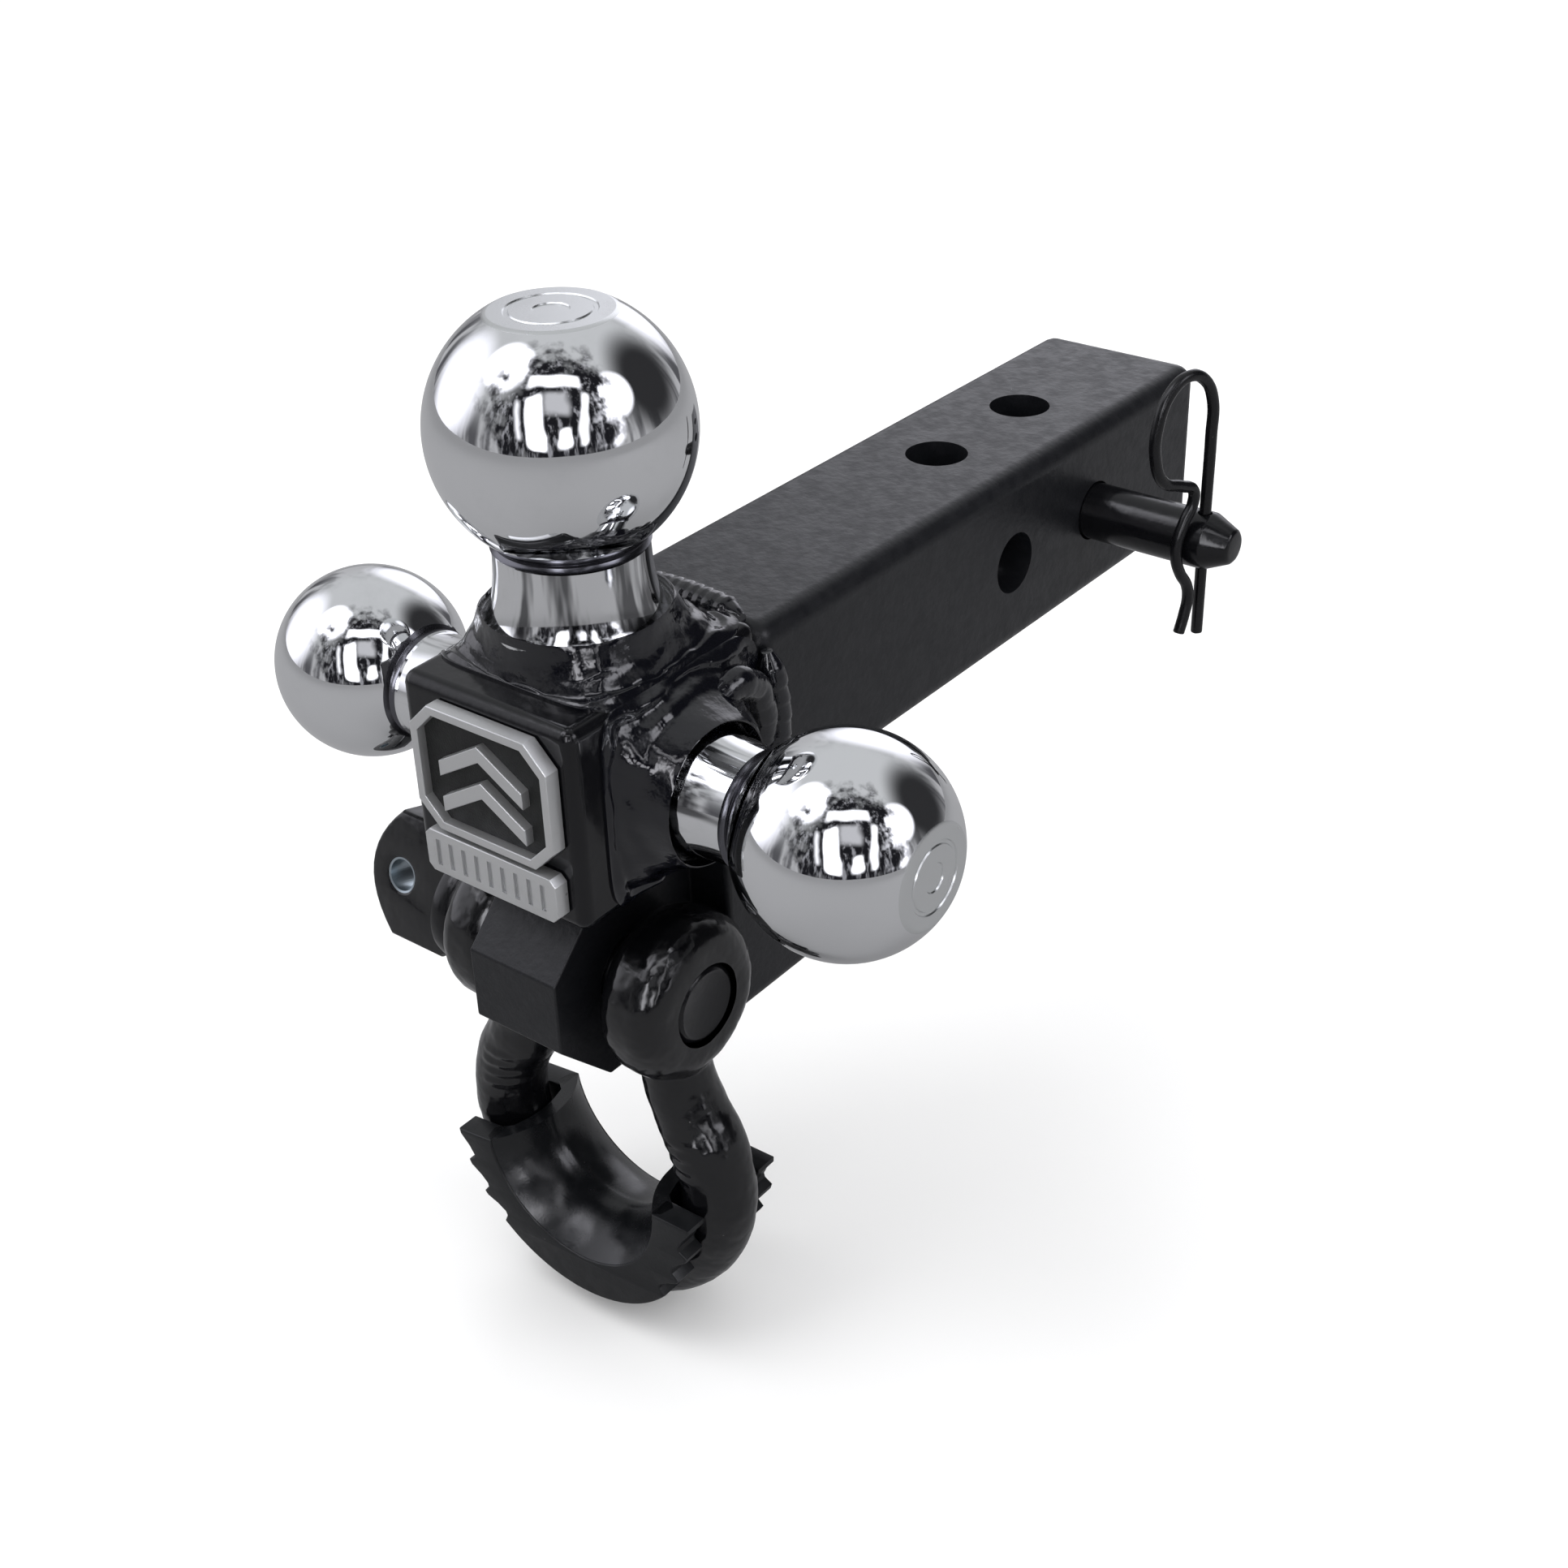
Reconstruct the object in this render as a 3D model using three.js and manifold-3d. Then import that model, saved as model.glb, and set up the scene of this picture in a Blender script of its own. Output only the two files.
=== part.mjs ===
// Three-ball trailer hitch with a bow shackle, in millimetres, +Z up.
// The origin is the centre of the shank's rear end face; the shank runs towards -Y to the ball block,
// whose badge faces -Y. +X is the side of the 2 inch ball and of the hitch pin's pointed end.
import * as THREE from "three";
import { mergeVertices } from "three/addons/utils/BufferGeometryUtils.js";
import Module from "manifold-3d";

const wasm = await Module();
wasm.setup();

// Driving dimensions.
const INCH = 25.4;
const GAP = 0.3;
const BAR = 2 * INCH;
const BAR_EDGE = 5.4;
const OVERALL = 269.9;
const FRONT = -OVERALL;

const HOLE_RADIUS = 8.4;
const HOLE_REAR_Y = -56.4;
const HOLE_PITCH = 41;

const BLOCK = 51;
const BLOCK_EDGE = 3.2;
const BLOCK_LENGTH = 63.5;
const BLOCK_Z = 3.1;
const BLOCK_BACK = FRONT + BLOCK_LENGTH;
const BALL_Y = FRONT + BLOCK_LENGTH / 2;

const SPIGOT_RADIUS = 12.5;
const SPIGOT_DEPTH = 14;
const BALL_CLEARANCE = 22.5;
const BALLS = [
  { name: "top", diameter: 58.7, neck: 17.4, seat: 21.4, flat: 13.6, weld: 29, weldHeight: 12 },
  { name: "right", diameter: 50.8, neck: 13.8, seat: 16.8, flat: 11.6, weld: 24.8, weldHeight: 14 },
  { name: "left", diameter: 47.6, neck: 13.2, seat: 16.2, flat: 10.8, weld: 24.2, weldHeight: 13 },
];

const LUG_TOP = -BAR / 2 - GAP;
const LUG_LENGTH = 108;
const LUG_NOSE_WIDTH = 27;
const LUG_NOSE_LENGTH = 48.5;
const LUG_CHAMFER = 16;

const PIN_Y = FRONT + 26;
const PIN_Z = LUG_TOP - BAR / 2 - 1;
const SHACKLE_X = 1.8;
const JAW = 32;
const JAW_DEPTH = 28.5;
const STOCK_RADIUS = 9.5;
const EAR_RADIUS = 21;
const EAR_THICKNESS = 19;
const EAR_ROUND = 7.5;
const PIN_RADIUS = 10.2;
const BOW_RADIUS = 35;
const BOW_DROP = 56.5;

const HITCH_PIN_RADIUS = 7.9;
const HITCH_PIN_TIP = 69;
const CLIP_X = 59.5;
const CLIP_WIRE = 1.6;
const CLIP_TURN = THREE.MathUtils.degToRad(15);
const HANDLE_X = 34;
const HANDLE_BEND = 12;
const HANDLE_DROP = 46;

const COLLAR = 6;
const COLLAR_RADIUS = 15.5;
const EYE_LENGTH = 33;
const EYE_HALF_HEIGHT = 17;
const EYE_THICKNESS = 9;
const EYE_HOLE = 4.2;
const EYE_TILT = THREE.MathUtils.degToRad(16);

const ISOLATOR_OUTER = 39;
const ISOLATOR_INNER = 27.5;
const ISOLATOR_SADDLE = 20.5;
const ISOLATOR_HALF_WIDTH = 17;
const ISOLATOR_START = 3;
const ISOLATOR_TURN = 4.5;
const TOOTH_COUNT = 3;
const TOOTH_TURN = THREE.MathUtils.degToRad(14);
const TOOTH_DEPTH = 2.8;

const BADGE_X = 1.5;
const BADGE_Z = 9.8;
const BADGE_HALF_WIDTH = 20.5;
const BADGE_HALF_HEIGHT = 15.8;
const BADGE_CLIP = 6;
const BADGE_RIM = 2.2;
const BADGE_FLOOR = 1.6;
const BADGE_DEPTH = 4;
const CHEVRON_HEIGHTS = [12.5, 3.3];
const CHEVRON_HALF_WIDTH = 12.5;
const CHEVRON_RISE = 7.5;
const CHEVRON_THICKNESS = 4;
const BADGE_STUD_RADIUS = 2;
const BADGE_STUD_LENGTH = 6;
const STRIP_HALF_WIDTH = 20;
const STRIP_HALF_HEIGHT = 5.6;
const STRIP_Z = -12.8;
const BADGE_STUDS = [[-11, BADGE_Z], [16, BADGE_Z], [-11, STRIP_Z], [16, STRIP_Z]];

// Colours.
const POWDER = { color: 0x1c1d20, roughness: 0.45, metalness: 0.1 };
const GLOSS = { color: 0x0b0b0e, roughness: 0.2, metalness: 0.1 };
const CHROME = { color: 0xd9dcde, roughness: 0.08, metalness: 1 };
const SILVER = { color: 0xb4b6b8, roughness: 0.35, metalness: 0.9 };
const ENAMEL = { color: 0x141417, roughness: 0.4, metalness: 0 };
const RUBBER = { color: 0x101114, roughness: 0.5, metalness: 0 };

const hitch = new THREE.Group();

// Turns a closed three.js geometry into a manifold-3d solid.
function solid(geometry) {
  const bare = geometry.clone();
  bare.deleteAttribute("normal");
  bare.deleteAttribute("uv");
  const merged = mergeVertices(bare, 1e-4);
  return new wasm.Manifold(new wasm.Mesh({
    numProp: 3,
    vertProperties: new Float32Array(merged.attributes.position.array),
    triVerts: new Uint32Array(merged.index.array),
  }));
}

// Turns a manifold-3d solid back into a three.js geometry.
function geometry(body) {
  const mesh = body.getMesh();
  const result = new THREE.BufferGeometry();
  result.setAttribute("position", new THREE.BufferAttribute(new Float32Array(mesh.vertProperties), 3));
  result.setIndex(new THREE.BufferAttribute(new Uint32Array(mesh.triVerts), 1));
  result.computeVertexNormals();
  return result;
}

function add(name, body, look) {
  const mesh = new THREE.Mesh(geometry(body), new THREE.MeshStandardMaterial(look));
  mesh.name = name;
  hitch.add(mesh);
}

function box(low, high) {
  const size = high.map((value, axis) => value - low[axis]);
  const middle = high.map((value, axis) => (value + low[axis]) / 2);
  return solid(new THREE.BoxGeometry(...size).translate(...middle));
}

// A solid of revolution about +Z from [radius, height] pairs, then turned so that +Z points along `up`.
function turned(profile, segments, up, place) {
  const points = profile.map(([radius, height]) => new THREE.Vector2(radius, height));
  const shape = new THREE.LatheGeometry(points, segments).rotateX(Math.PI / 2);
  const turn = new THREE.Quaternion().setFromUnitVectors(new THREE.Vector3(0, 0, 1), up);
  return solid(shape.applyQuaternion(turn).translate(...place));
}

function rod(radius, low, high, up, place, segments = 24) {
  return turned([[0, low], [radius, low], [radius, high], [0, high]], segments, up, place);
}

// A bar along Y with its long edges rounded in a few steps and its ends bevelled.
function squareBar(width, edge, bevel, yLow, yHigh, z) {
  const half = width / 2 - bevel;
  const radius = edge - bevel;
  const shape = new THREE.Shape();
  const corners = [[1, 1, 0], [-1, 1, 90], [-1, -1, 180], [1, -1, 270]];
  for (const [x, y, start] of corners) {
    const low = THREE.MathUtils.degToRad(start);
    shape.absarc(x * (half - radius), y * (half - radius), radius, low, low + Math.PI / 2);
  }
  const bar = new THREE.ExtrudeGeometry(shape, {
    depth: yHigh - yLow - 2 * bevel, curveSegments: 4,
    bevelEnabled: true, bevelThickness: bevel, bevelSize: bevel, bevelSegments: 1,
  });
  return solid(bar.rotateX(Math.PI / 2).translate(0, yHigh - bevel, z));
}

// A plate parallel to the XZ plane: its outline is in X and Z, from y low to y high.
function plateXZ(points, yLow, yHigh) {
  const shape = new THREE.Shape(points.map(([x, z]) => new THREE.Vector2(x, z)));
  const plate = new THREE.ExtrudeGeometry(shape, { depth: yHigh - yLow, bevelEnabled: false });
  return solid(plate.rotateX(Math.PI / 2).translate(0, yHigh, 0));
}

// A plate parallel to the YZ plane: its outline is in Y and Z, from x low to x high.
function plateYZ(points, xLow, xHigh) {
  const shape = new THREE.Shape(points.map(([y, z]) => new THREE.Vector2(y, z)));
  const plate = new THREE.ExtrudeGeometry(shape, { depth: xHigh - xLow, bevelEnabled: false });
  return solid(plate.rotateY(Math.PI / 2).rotateX(Math.PI / 2).translate(xLow, 0, 0));
}

// A round bar along a curve.
function wire(points, radius, sides, steps) {
  const outline = new THREE.Shape();
  outline.absarc(0, 0, radius, 0, 2 * Math.PI);
  const path = new THREE.CatmullRomCurve3(points.map((point) => new THREE.Vector3(...point)));
  const section = outline.getPoints(sides / 2);
  return solid(new THREE.ExtrudeGeometry(new THREE.Shape(section), { steps, extrudePath: path }));
}

const RIGHT = new THREE.Vector3(1, 0, 0);
const LEFT = new THREE.Vector3(-1, 0, 0);
const UP = new THREE.Vector3(0, 0, 1);
const BACK = new THREE.Vector3(0, 1, 0);

const BALL_UP = { top: UP, right: RIGHT, left: LEFT };
const BALL_SEAT = {
  top: [0, BALL_Y, BLOCK_Z + BLOCK / 2],
  right: [BLOCK / 2, BALL_Y, BLOCK_Z],
  left: [-BLOCK / 2, BALL_Y, BLOCK_Z],
};

function shankBar(grow) {
  return squareBar(BAR + 2 * grow, BAR_EDGE + grow, 1, BLOCK_BACK + GAP - grow, grow, 0);
}

function blockBar(grow) {
  return squareBar(BLOCK + 2 * grow, BLOCK_EDGE + grow, 1.2, FRONT - grow, BLOCK_BACK + grow, BLOCK_Z);
}

// The 2 inch bar that slides into a receiver, with two holes down through it and two across it.
function shank() {
  let bar = shankBar(0);
  for (const y of [HOLE_REAR_Y, HOLE_REAR_Y - HOLE_PITCH]) {
    bar = bar.subtract(rod(HOLE_RADIUS, -BAR, BAR, UP, [0, y, 0]));
    bar = bar.subtract(rod(HOLE_RADIUS, -BAR, BAR, RIGHT, [0, y, 0]));
  }
  return bar;
}

// The block that carries the balls, bored for their spigots and for the badge's studs.
function block() {
  let body = blockBar(0);
  for (const { name } of BALLS) {
    const bore = rod(SPIGOT_RADIUS + GAP, -SPIGOT_DEPTH - 1, 5, BALL_UP[name], BALL_SEAT[name]);
    body = body.subtract(bore);
  }
  for (const [x, z] of BADGE_STUDS) {
    body = body.subtract(rod(BADGE_STUD_RADIUS + GAP, -5, BADGE_STUD_LENGTH + 1, BACK, [x, FRONT, z], 16));
  }
  return body;
}

// One ball, turned in one piece with its waisted neck and the spigot that goes into the block.
function ball({ name, diameter, neck, seat, flat }) {
  const radius = diameter / 2;
  const centre = BALL_CLEARANCE + radius;
  const profile = [
    [0, -SPIGOT_DEPTH], [SPIGOT_RADIUS - 1, -SPIGOT_DEPTH], [SPIGOT_RADIUS, -SPIGOT_DEPTH + 1],
    [SPIGOT_RADIUS, GAP], [seat, GAP],
  ];
  const waistLow = 9;
  const waistHigh = centre - Math.sqrt(radius ** 2 - (neck + 1) ** 2) - 3;
  for (let step = 0; step <= 4; step += 1) {
    const turn = (step / 4) * (Math.PI / 2);
    const r = neck + (seat - neck) * (1 - Math.sin(turn));
    profile.push([r, waistLow + (waistHigh - waistLow) * (1 - Math.cos(turn))]);
  }
  profile.push([neck, waistHigh + 1.5]);
  const start = Math.asin(neck / radius);
  const end = Math.PI - Math.asin(flat / radius);
  for (let step = 0; step <= 14; step += 1) {
    const angle = start + ((end - start) * step) / 14;
    profile.push([radius * Math.sin(angle), centre - radius * Math.cos(angle)]);
  }
  profile.push([0, centre - radius * Math.cos(end)]);
  return turned(profile, 32, BALL_UP[name], BALL_SEAT[name]);
}

// The thick weld fillet that joins one ball's neck to its face of the block.
function ballWeld({ name, seat, weld, weldHeight }) {
  const bore = seat + GAP;
  const fillet = [
    [bore, -6], [weld, -6], [weld, 1.5], [weld - 1.8, 3.4],
    [bore + 2.6, weldHeight - 2.2], [bore + 1.2, weldHeight], [bore, weldHeight], [bore, -6],
  ];
  const ring = turned(fillet, 28, BALL_UP[name], BALL_SEAT[name]);
  const quarter = plateXZ([[0, GAP], [90, 90 + GAP], [-90, 90 + GAP]], FRONT, BLOCK_BACK);
  const turns = { top: 0, right: 90, left: -90 };
  const limit = quarter.rotate([0, turns[name], 0]).translate([0, 0, BLOCK_Z]);
  return ring.intersect(limit).subtract(blockBar(GAP));
}

// The weld cap over the joint between the block and the shank, one run on each open side.
function shankWeld(side) {
  const low = BLOCK_BACK - 3.5;
  const high = BLOCK_BACK + 6;
  const reach = BAR / 2 + 2.6;
  const cap = squareBar(2 * reach, 6, 1.6, low, high, 0);
  const shell = cap.subtract(blockBar(GAP)).subtract(shankBar(GAP));
  const beyond = 60;
  const cornerClear = reach - 9;
  const sides = {
    top: box([-cornerClear, low, BAR / 2 - 2], [cornerClear, high, beyond]),
    right: box([BAR / 2 - 2, low, -cornerClear], [beyond, high, cornerClear]),
    left: box([-beyond, low, -cornerClear], [-BAR / 2 + 2, high, cornerClear]),
  };
  return shell.intersect(sides[side]);
}

// The lower bar: full width under the shank, narrowed in front to the tongue that the shackle takes.
function lugBar() {
  const low = LUG_TOP - BAR;
  const middle = (LUG_TOP + low) / 2;
  const back = FRONT + LUG_LENGTH;
  const shoulder = FRONT + LUG_NOSE_LENGTH;
  const wide = squareBar(BAR, BAR_EDGE, 1, shoulder, back, middle);
  const half = LUG_NOSE_WIDTH / 2;
  const outline = [
    [shoulder + 5, LUG_TOP], [FRONT + LUG_CHAMFER, LUG_TOP], [FRONT, LUG_TOP - LUG_CHAMFER],
    [FRONT, low + LUG_CHAMFER], [FRONT + LUG_CHAMFER, low], [shoulder + 5, low],
  ];
  const tongue = plateYZ(outline, -half, half);
  const bore = rod(PIN_RADIUS + GAP + 0.4, -30, 30, RIGHT, [0, PIN_Y, PIN_Z]);
  return wide.add(tongue).subtract(bore);
}

// The fillets along both sides of the lower bar's top, under the block and along the shank.
function lugWeld(side) {
  const yLow = FRONT + 22;
  const yHigh = FRONT + LUG_LENGTH - 4;
  const blockBottom = BLOCK_Z - BLOCK / 2;
  const frontRun = box([10, yLow, LUG_TOP + GAP], [19, FRONT + LUG_NOSE_LENGTH - GAP, blockBottom - GAP]);
  const outline = [[19, LUG_TOP - 4], [26.5, LUG_TOP - 4], [25.2, LUG_TOP + 4], [19, LUG_TOP + 4]];
  const sideRun = plateXZ(outline, FRONT + LUG_NOSE_LENGTH - 1, yHigh);
  const low = LUG_TOP - BAR;
  const wide = squareBar(BAR + 2 * GAP, BAR_EDGE + GAP, 1,
    FRONT + LUG_NOSE_LENGTH - GAP, FRONT + LUG_LENGTH + GAP, (LUG_TOP + low) / 2);
  const bead = frontRun.add(sideRun).subtract(wide).subtract(blockBar(GAP)).subtract(shankBar(GAP));
  return side === "right" ? bead : bead.mirror([1, 0, 0]);
}

// The fillet across the lower bar's rear end, up to the shank's underside.
function lugWeldRear() {
  const back = FRONT + LUG_LENGTH + GAP;
  const top = -BAR / 2 - GAP;
  const outline = [[back, top - 8], [back + 2, top - 7], [back + 7, top - 1.5], [back + 8, top], [back, top]];
  return plateYZ(outline, -19, 19);
}

// An octagonal plate outline about a middle point.
function clippedRectangle(halfWidth, halfHeight, clip, x, z) {
  const points = [
    [halfWidth, halfHeight - clip], [halfWidth - clip, halfHeight],
    [clip - halfWidth, halfHeight], [-halfWidth, halfHeight - clip],
    [-halfWidth, clip - halfHeight], [clip - halfWidth, -halfHeight],
    [halfWidth - clip, -halfHeight], [halfWidth, clip - halfHeight],
  ];
  return points.map(([px, pz]) => [px + x, pz + z]);
}

// A chevron outline, pointing up, at height z and grown all round by `grow`.
function chevron(z, grow) {
  const halfWidth = CHEVRON_HALF_WIDTH + grow;
  const low = -CHEVRON_THICKNESS - 1.5 * grow;
  const points = [
    [0, CHEVRON_RISE + grow], [-halfWidth, grow], [-halfWidth, low],
    [0, CHEVRON_RISE + low], [halfWidth, low], [halfWidth, grow],
  ];
  return points.map(([px, pz]) => [px + BADGE_X, pz + z]);
}

// The badge's silver casting: a raised rim and two chevrons on a thin back, with two studs behind.
function badgePlate() {
  const back = FRONT - GAP;
  const floor = back - BADGE_FLOOR;
  const face = back - BADGE_DEPTH;
  const outer = clippedRectangle(BADGE_HALF_WIDTH, BADGE_HALF_HEIGHT, BADGE_CLIP, BADGE_X, BADGE_Z);
  const inner = clippedRectangle(
    BADGE_HALF_WIDTH - BADGE_RIM, BADGE_HALF_HEIGHT - BADGE_RIM, BADGE_CLIP - 0.4 * BADGE_RIM,
    BADGE_X, BADGE_Z);
  let plate = plateXZ(outer, face, back).subtract(plateXZ(inner, face - 1, floor));
  for (const z of CHEVRON_HEIGHTS) {
    plate = plate.add(plateXZ(chevron(z, 0), face, floor + 0.5));
  }
  for (const [x, z] of BADGE_STUDS.slice(0, 2)) {
    plate = plate.add(rod(BADGE_STUD_RADIUS, -1, BADGE_STUD_LENGTH, BACK, [x, FRONT, z], 16));
  }
  return plate;
}

// The black enamel laid in the badge's recess, round the chevrons.
function badgeField() {
  const floor = FRONT - GAP - BADGE_FLOOR - GAP;
  const rim = BADGE_RIM + GAP;
  const outline = clippedRectangle(
    BADGE_HALF_WIDTH - rim, BADGE_HALF_HEIGHT - rim, BADGE_CLIP - 0.4 * rim, BADGE_X, BADGE_Z);
  let field = plateXZ(outline, floor - 0.7, floor);
  for (const z of CHEVRON_HEIGHTS) {
    field = field.subtract(plateXZ(chevron(z, GAP), floor - 2, floor + 1));
  }
  return field;
}

// The plain ribbed bar below the badge, with its two studs.
function badgeBar() {
  const back = FRONT - GAP;
  const face = back - BADGE_DEPTH;
  let bar = plateXZ(clippedRectangle(STRIP_HALF_WIDTH, STRIP_HALF_HEIGHT, 1.6, BADGE_X, STRIP_Z), face, back);
  for (let rib = -4; rib <= 4; rib += 1) {
    const x = BADGE_X + rib * 4;
    const groove = box([x - 0.7, face - 1, STRIP_Z - 3.4], [x + 0.7, face + 0.6, STRIP_Z + 3.4]);
    bar = bar.subtract(groove);
  }
  for (const [x, z] of BADGE_STUDS.slice(2)) {
    bar = bar.add(rod(BADGE_STUD_RADIUS, -1, BADGE_STUD_LENGTH, BACK, [x, FRONT, z], 16));
  }
  return bar;
}

// A point of the shackle's bow, from the pin's axis at the shackle's own middle.
function atPin(x, z) {
  return [SHACKLE_X + x, PIN_Y, PIN_Z + z];
}

// The forged bow: a round bar bent into a bow, with a round ear at each end.
function shackleBow() {
  const earX = (JAW + EAR_THICKNESS) / 2;
  const leg = [[earX - 1, -8], [earX - 2, -20], [earX + 1.8, -34]];
  const bend = [];
  for (let angle = 22; angle >= -202; angle -= 16) {
    const turn = THREE.MathUtils.degToRad(angle);
    bend.push([BOW_RADIUS * Math.cos(turn), -BOW_DROP + BOW_RADIUS * Math.sin(turn)]);
  }
  const mirrored = leg.map(([x, z]) => [-x, z]).reverse();
  const path = [...leg, ...bend, ...mirrored].map(([x, z]) => atPin(x, z));
  let bow = wire(path, STOCK_RADIUS, 12, 40);
  const ear = [[0, -EAR_THICKNESS / 2]];
  for (const side of [-1, 1]) {
    for (let step = 0; step <= 4; step += 1) {
      const turn = (side < 0 ? step : 4 - step) * (Math.PI / 8);
      const reach = EAR_RADIUS - EAR_ROUND + EAR_ROUND * Math.sin(turn);
      ear.push([reach, side * (EAR_THICKNESS / 2 - EAR_ROUND + EAR_ROUND * Math.cos(turn))]);
    }
  }
  ear.push([0, EAR_THICKNESS / 2]);
  for (const side of [-1, 1]) {
    bow = bow.add(turned(ear, 28, RIGHT, atPin(side * earX, 0)));
  }
  const slot = box(
    [SHACKLE_X - JAW / 2, PIN_Y - 30, PIN_Z - JAW_DEPTH],
    [SHACKLE_X + JAW / 2, PIN_Y + 30, PIN_Z + 30]);
  return bow.subtract(slot).subtract(rod(PIN_RADIUS + GAP, -60, 60, RIGHT, atPin(0, 0)));
}

// The screw pin: shaft, threaded end, round collar and the flat eye that turns it.
function shacklePin() {
  const outer = JAW / 2 + EAR_THICKNESS;
  const collarLow = -outer - GAP;
  const collarHigh = collarLow - COLLAR;
  let pin = turned([
    [0, collarHigh], [COLLAR_RADIUS - 1.5, collarHigh], [COLLAR_RADIUS, collarHigh + 1.5],
    [COLLAR_RADIUS, collarLow - 1.2], [COLLAR_RADIUS - 1.2, collarLow], [PIN_RADIUS, collarLow],
    [PIN_RADIUS, outer - 2], [PIN_RADIUS - 1.6, outer - 0.4], [0, outer - 0.4],
  ], 32, RIGHT, atPin(0, 0));
  const tab = new THREE.Shape();
  tab.moveTo(collarHigh + 2, -11);
  tab.lineTo(collarHigh - 5, -EYE_HALF_HEIGHT);
  tab.lineTo(collarHigh + 10 - EYE_LENGTH, -EYE_HALF_HEIGHT);
  tab.quadraticCurveTo(collarHigh - EYE_LENGTH - 8, 0, collarHigh + 10 - EYE_LENGTH, EYE_HALF_HEIGHT);
  tab.lineTo(collarHigh - 5, EYE_HALF_HEIGHT);
  tab.lineTo(collarHigh + 2, 11);
  const eye = new THREE.Path();
  eye.absarc(collarHigh + 12 - EYE_LENGTH, 0, EYE_HOLE, 0, 2 * Math.PI);
  tab.holes.push(eye);
  const plate = new THREE.ExtrudeGeometry(tab, {
    depth: EYE_THICKNESS - 2, curveSegments: 10,
    bevelEnabled: true, bevelThickness: 1, bevelSize: 1, bevelSegments: 1,
  });
  plate.translate(0, 0, 1 - EYE_THICKNESS / 2).rotateX(Math.PI / 2 - EYE_TILT).translate(...atPin(0, 0));
  return pin.add(solid(plate));
}

// The moulded cushion that lines the bow: a saddle inside the bend and a flange on each face.
function isolator() {
  const start = THREE.MathUtils.degToRad(180 + ISOLATOR_START);
  const end = THREE.MathUtils.degToRad(360 - ISOLATOR_START);
  const smoothStart = start + TOOTH_COUNT * TOOTH_TURN;
  const left = [];
  for (let tooth = 0; tooth < TOOTH_COUNT; tooth += 1) {
    const tip = start + tooth * TOOTH_TURN;
    left.push([tip, ISOLATOR_OUTER]);
    left.push([tip + 0.45 * TOOTH_TURN, ISOLATOR_OUTER - 0.8 * TOOTH_DEPTH]);
    left.push([tip + 0.9 * TOOTH_TURN, ISOLATOR_OUTER - TOOTH_DEPTH]);
  }
  const bottom = [];
  for (let step = 0; step <= 12; step += 1) {
    bottom.push([smoothStart + (2 * (1.5 * Math.PI - smoothStart) * step) / 12, ISOLATOR_OUTER]);
  }
  const right = left.map(([turn, reach]) => [3 * Math.PI - turn, reach]).reverse();
  const edge = [...left, ...bottom, ...right];
  const outline = new THREE.Shape(edge.map(([turn, reach]) => (
    new THREE.Vector2(reach * Math.cos(turn), reach * Math.sin(turn)))));
  outline.absarc(0, 0, ISOLATOR_INNER, end, start, true);
  const flange = (yLow, yHigh) => {
    const plate = new THREE.ExtrudeGeometry(outline, {
      depth: yHigh - yLow, bevelEnabled: false, curveSegments: 12,
    });
    return solid(plate.rotateX(Math.PI / 2).translate(SHACKLE_X, PIN_Y + yHigh, PIN_Z - BOW_DROP));
  };
  const rim = STOCK_RADIUS + 1;
  let body = flange(-ISOLATOR_HALF_WIDTH, -rim).add(flange(rim, ISOLATOR_HALF_WIDTH));
  const saddleOuter = BOW_RADIUS - STOCK_RADIUS * 0.2;
  const saddle = [];
  for (let step = 0; step <= 8; step += 1) {
    const across = -1 + step / 4;
    saddle.push([ISOLATOR_SADDLE + (ISOLATOR_INNER - ISOLATOR_SADDLE) * across ** 2, across * (rim + 2)]);
  }
  const ring = [[saddleOuter, -(rim + 2)], ...saddle, [saddleOuter, rim + 2], [saddleOuter, -(rim + 2)]];
  const full = turned(ring.reverse(), 40, BACK, [SHACKLE_X, PIN_Y, PIN_Z - BOW_DROP]);
  const wedge = new THREE.Shape();
  wedge.moveTo(0, 0);
  wedge.lineTo(80 * Math.cos(start), 80 * Math.sin(start));
  wedge.lineTo(80 * Math.cos(start), -90);
  wedge.lineTo(80 * Math.cos(end), -90);
  wedge.lineTo(80 * Math.cos(end), 80 * Math.sin(end));
  const sector = new THREE.ExtrudeGeometry(wedge, { depth: 60, bevelEnabled: false });
  sector.rotateX(Math.PI / 2).translate(SHACKLE_X, PIN_Y + 30, PIN_Z - BOW_DROP);
  body = body.add(full.intersect(solid(sector)));
  const seat = [];
  for (let step = 0; step <= 12; step += 1) {
    const turn = (step / 6) * Math.PI;
    seat.push([BOW_RADIUS + (STOCK_RADIUS + GAP) * Math.cos(turn), (STOCK_RADIUS + GAP) * Math.sin(turn)]);
  }
  const bowRing = turned(seat, 48, BACK, [SHACKLE_X, PIN_Y, PIN_Z - BOW_DROP]);
  const middle = [SHACKLE_X, PIN_Y, PIN_Z - BOW_DROP];
  const toMiddle = middle.map((value) => -value);
  return body.subtract(bowRing).translate(toMiddle).rotate([0, -ISOLATOR_TURN, 0]).translate(middle);
}

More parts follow.
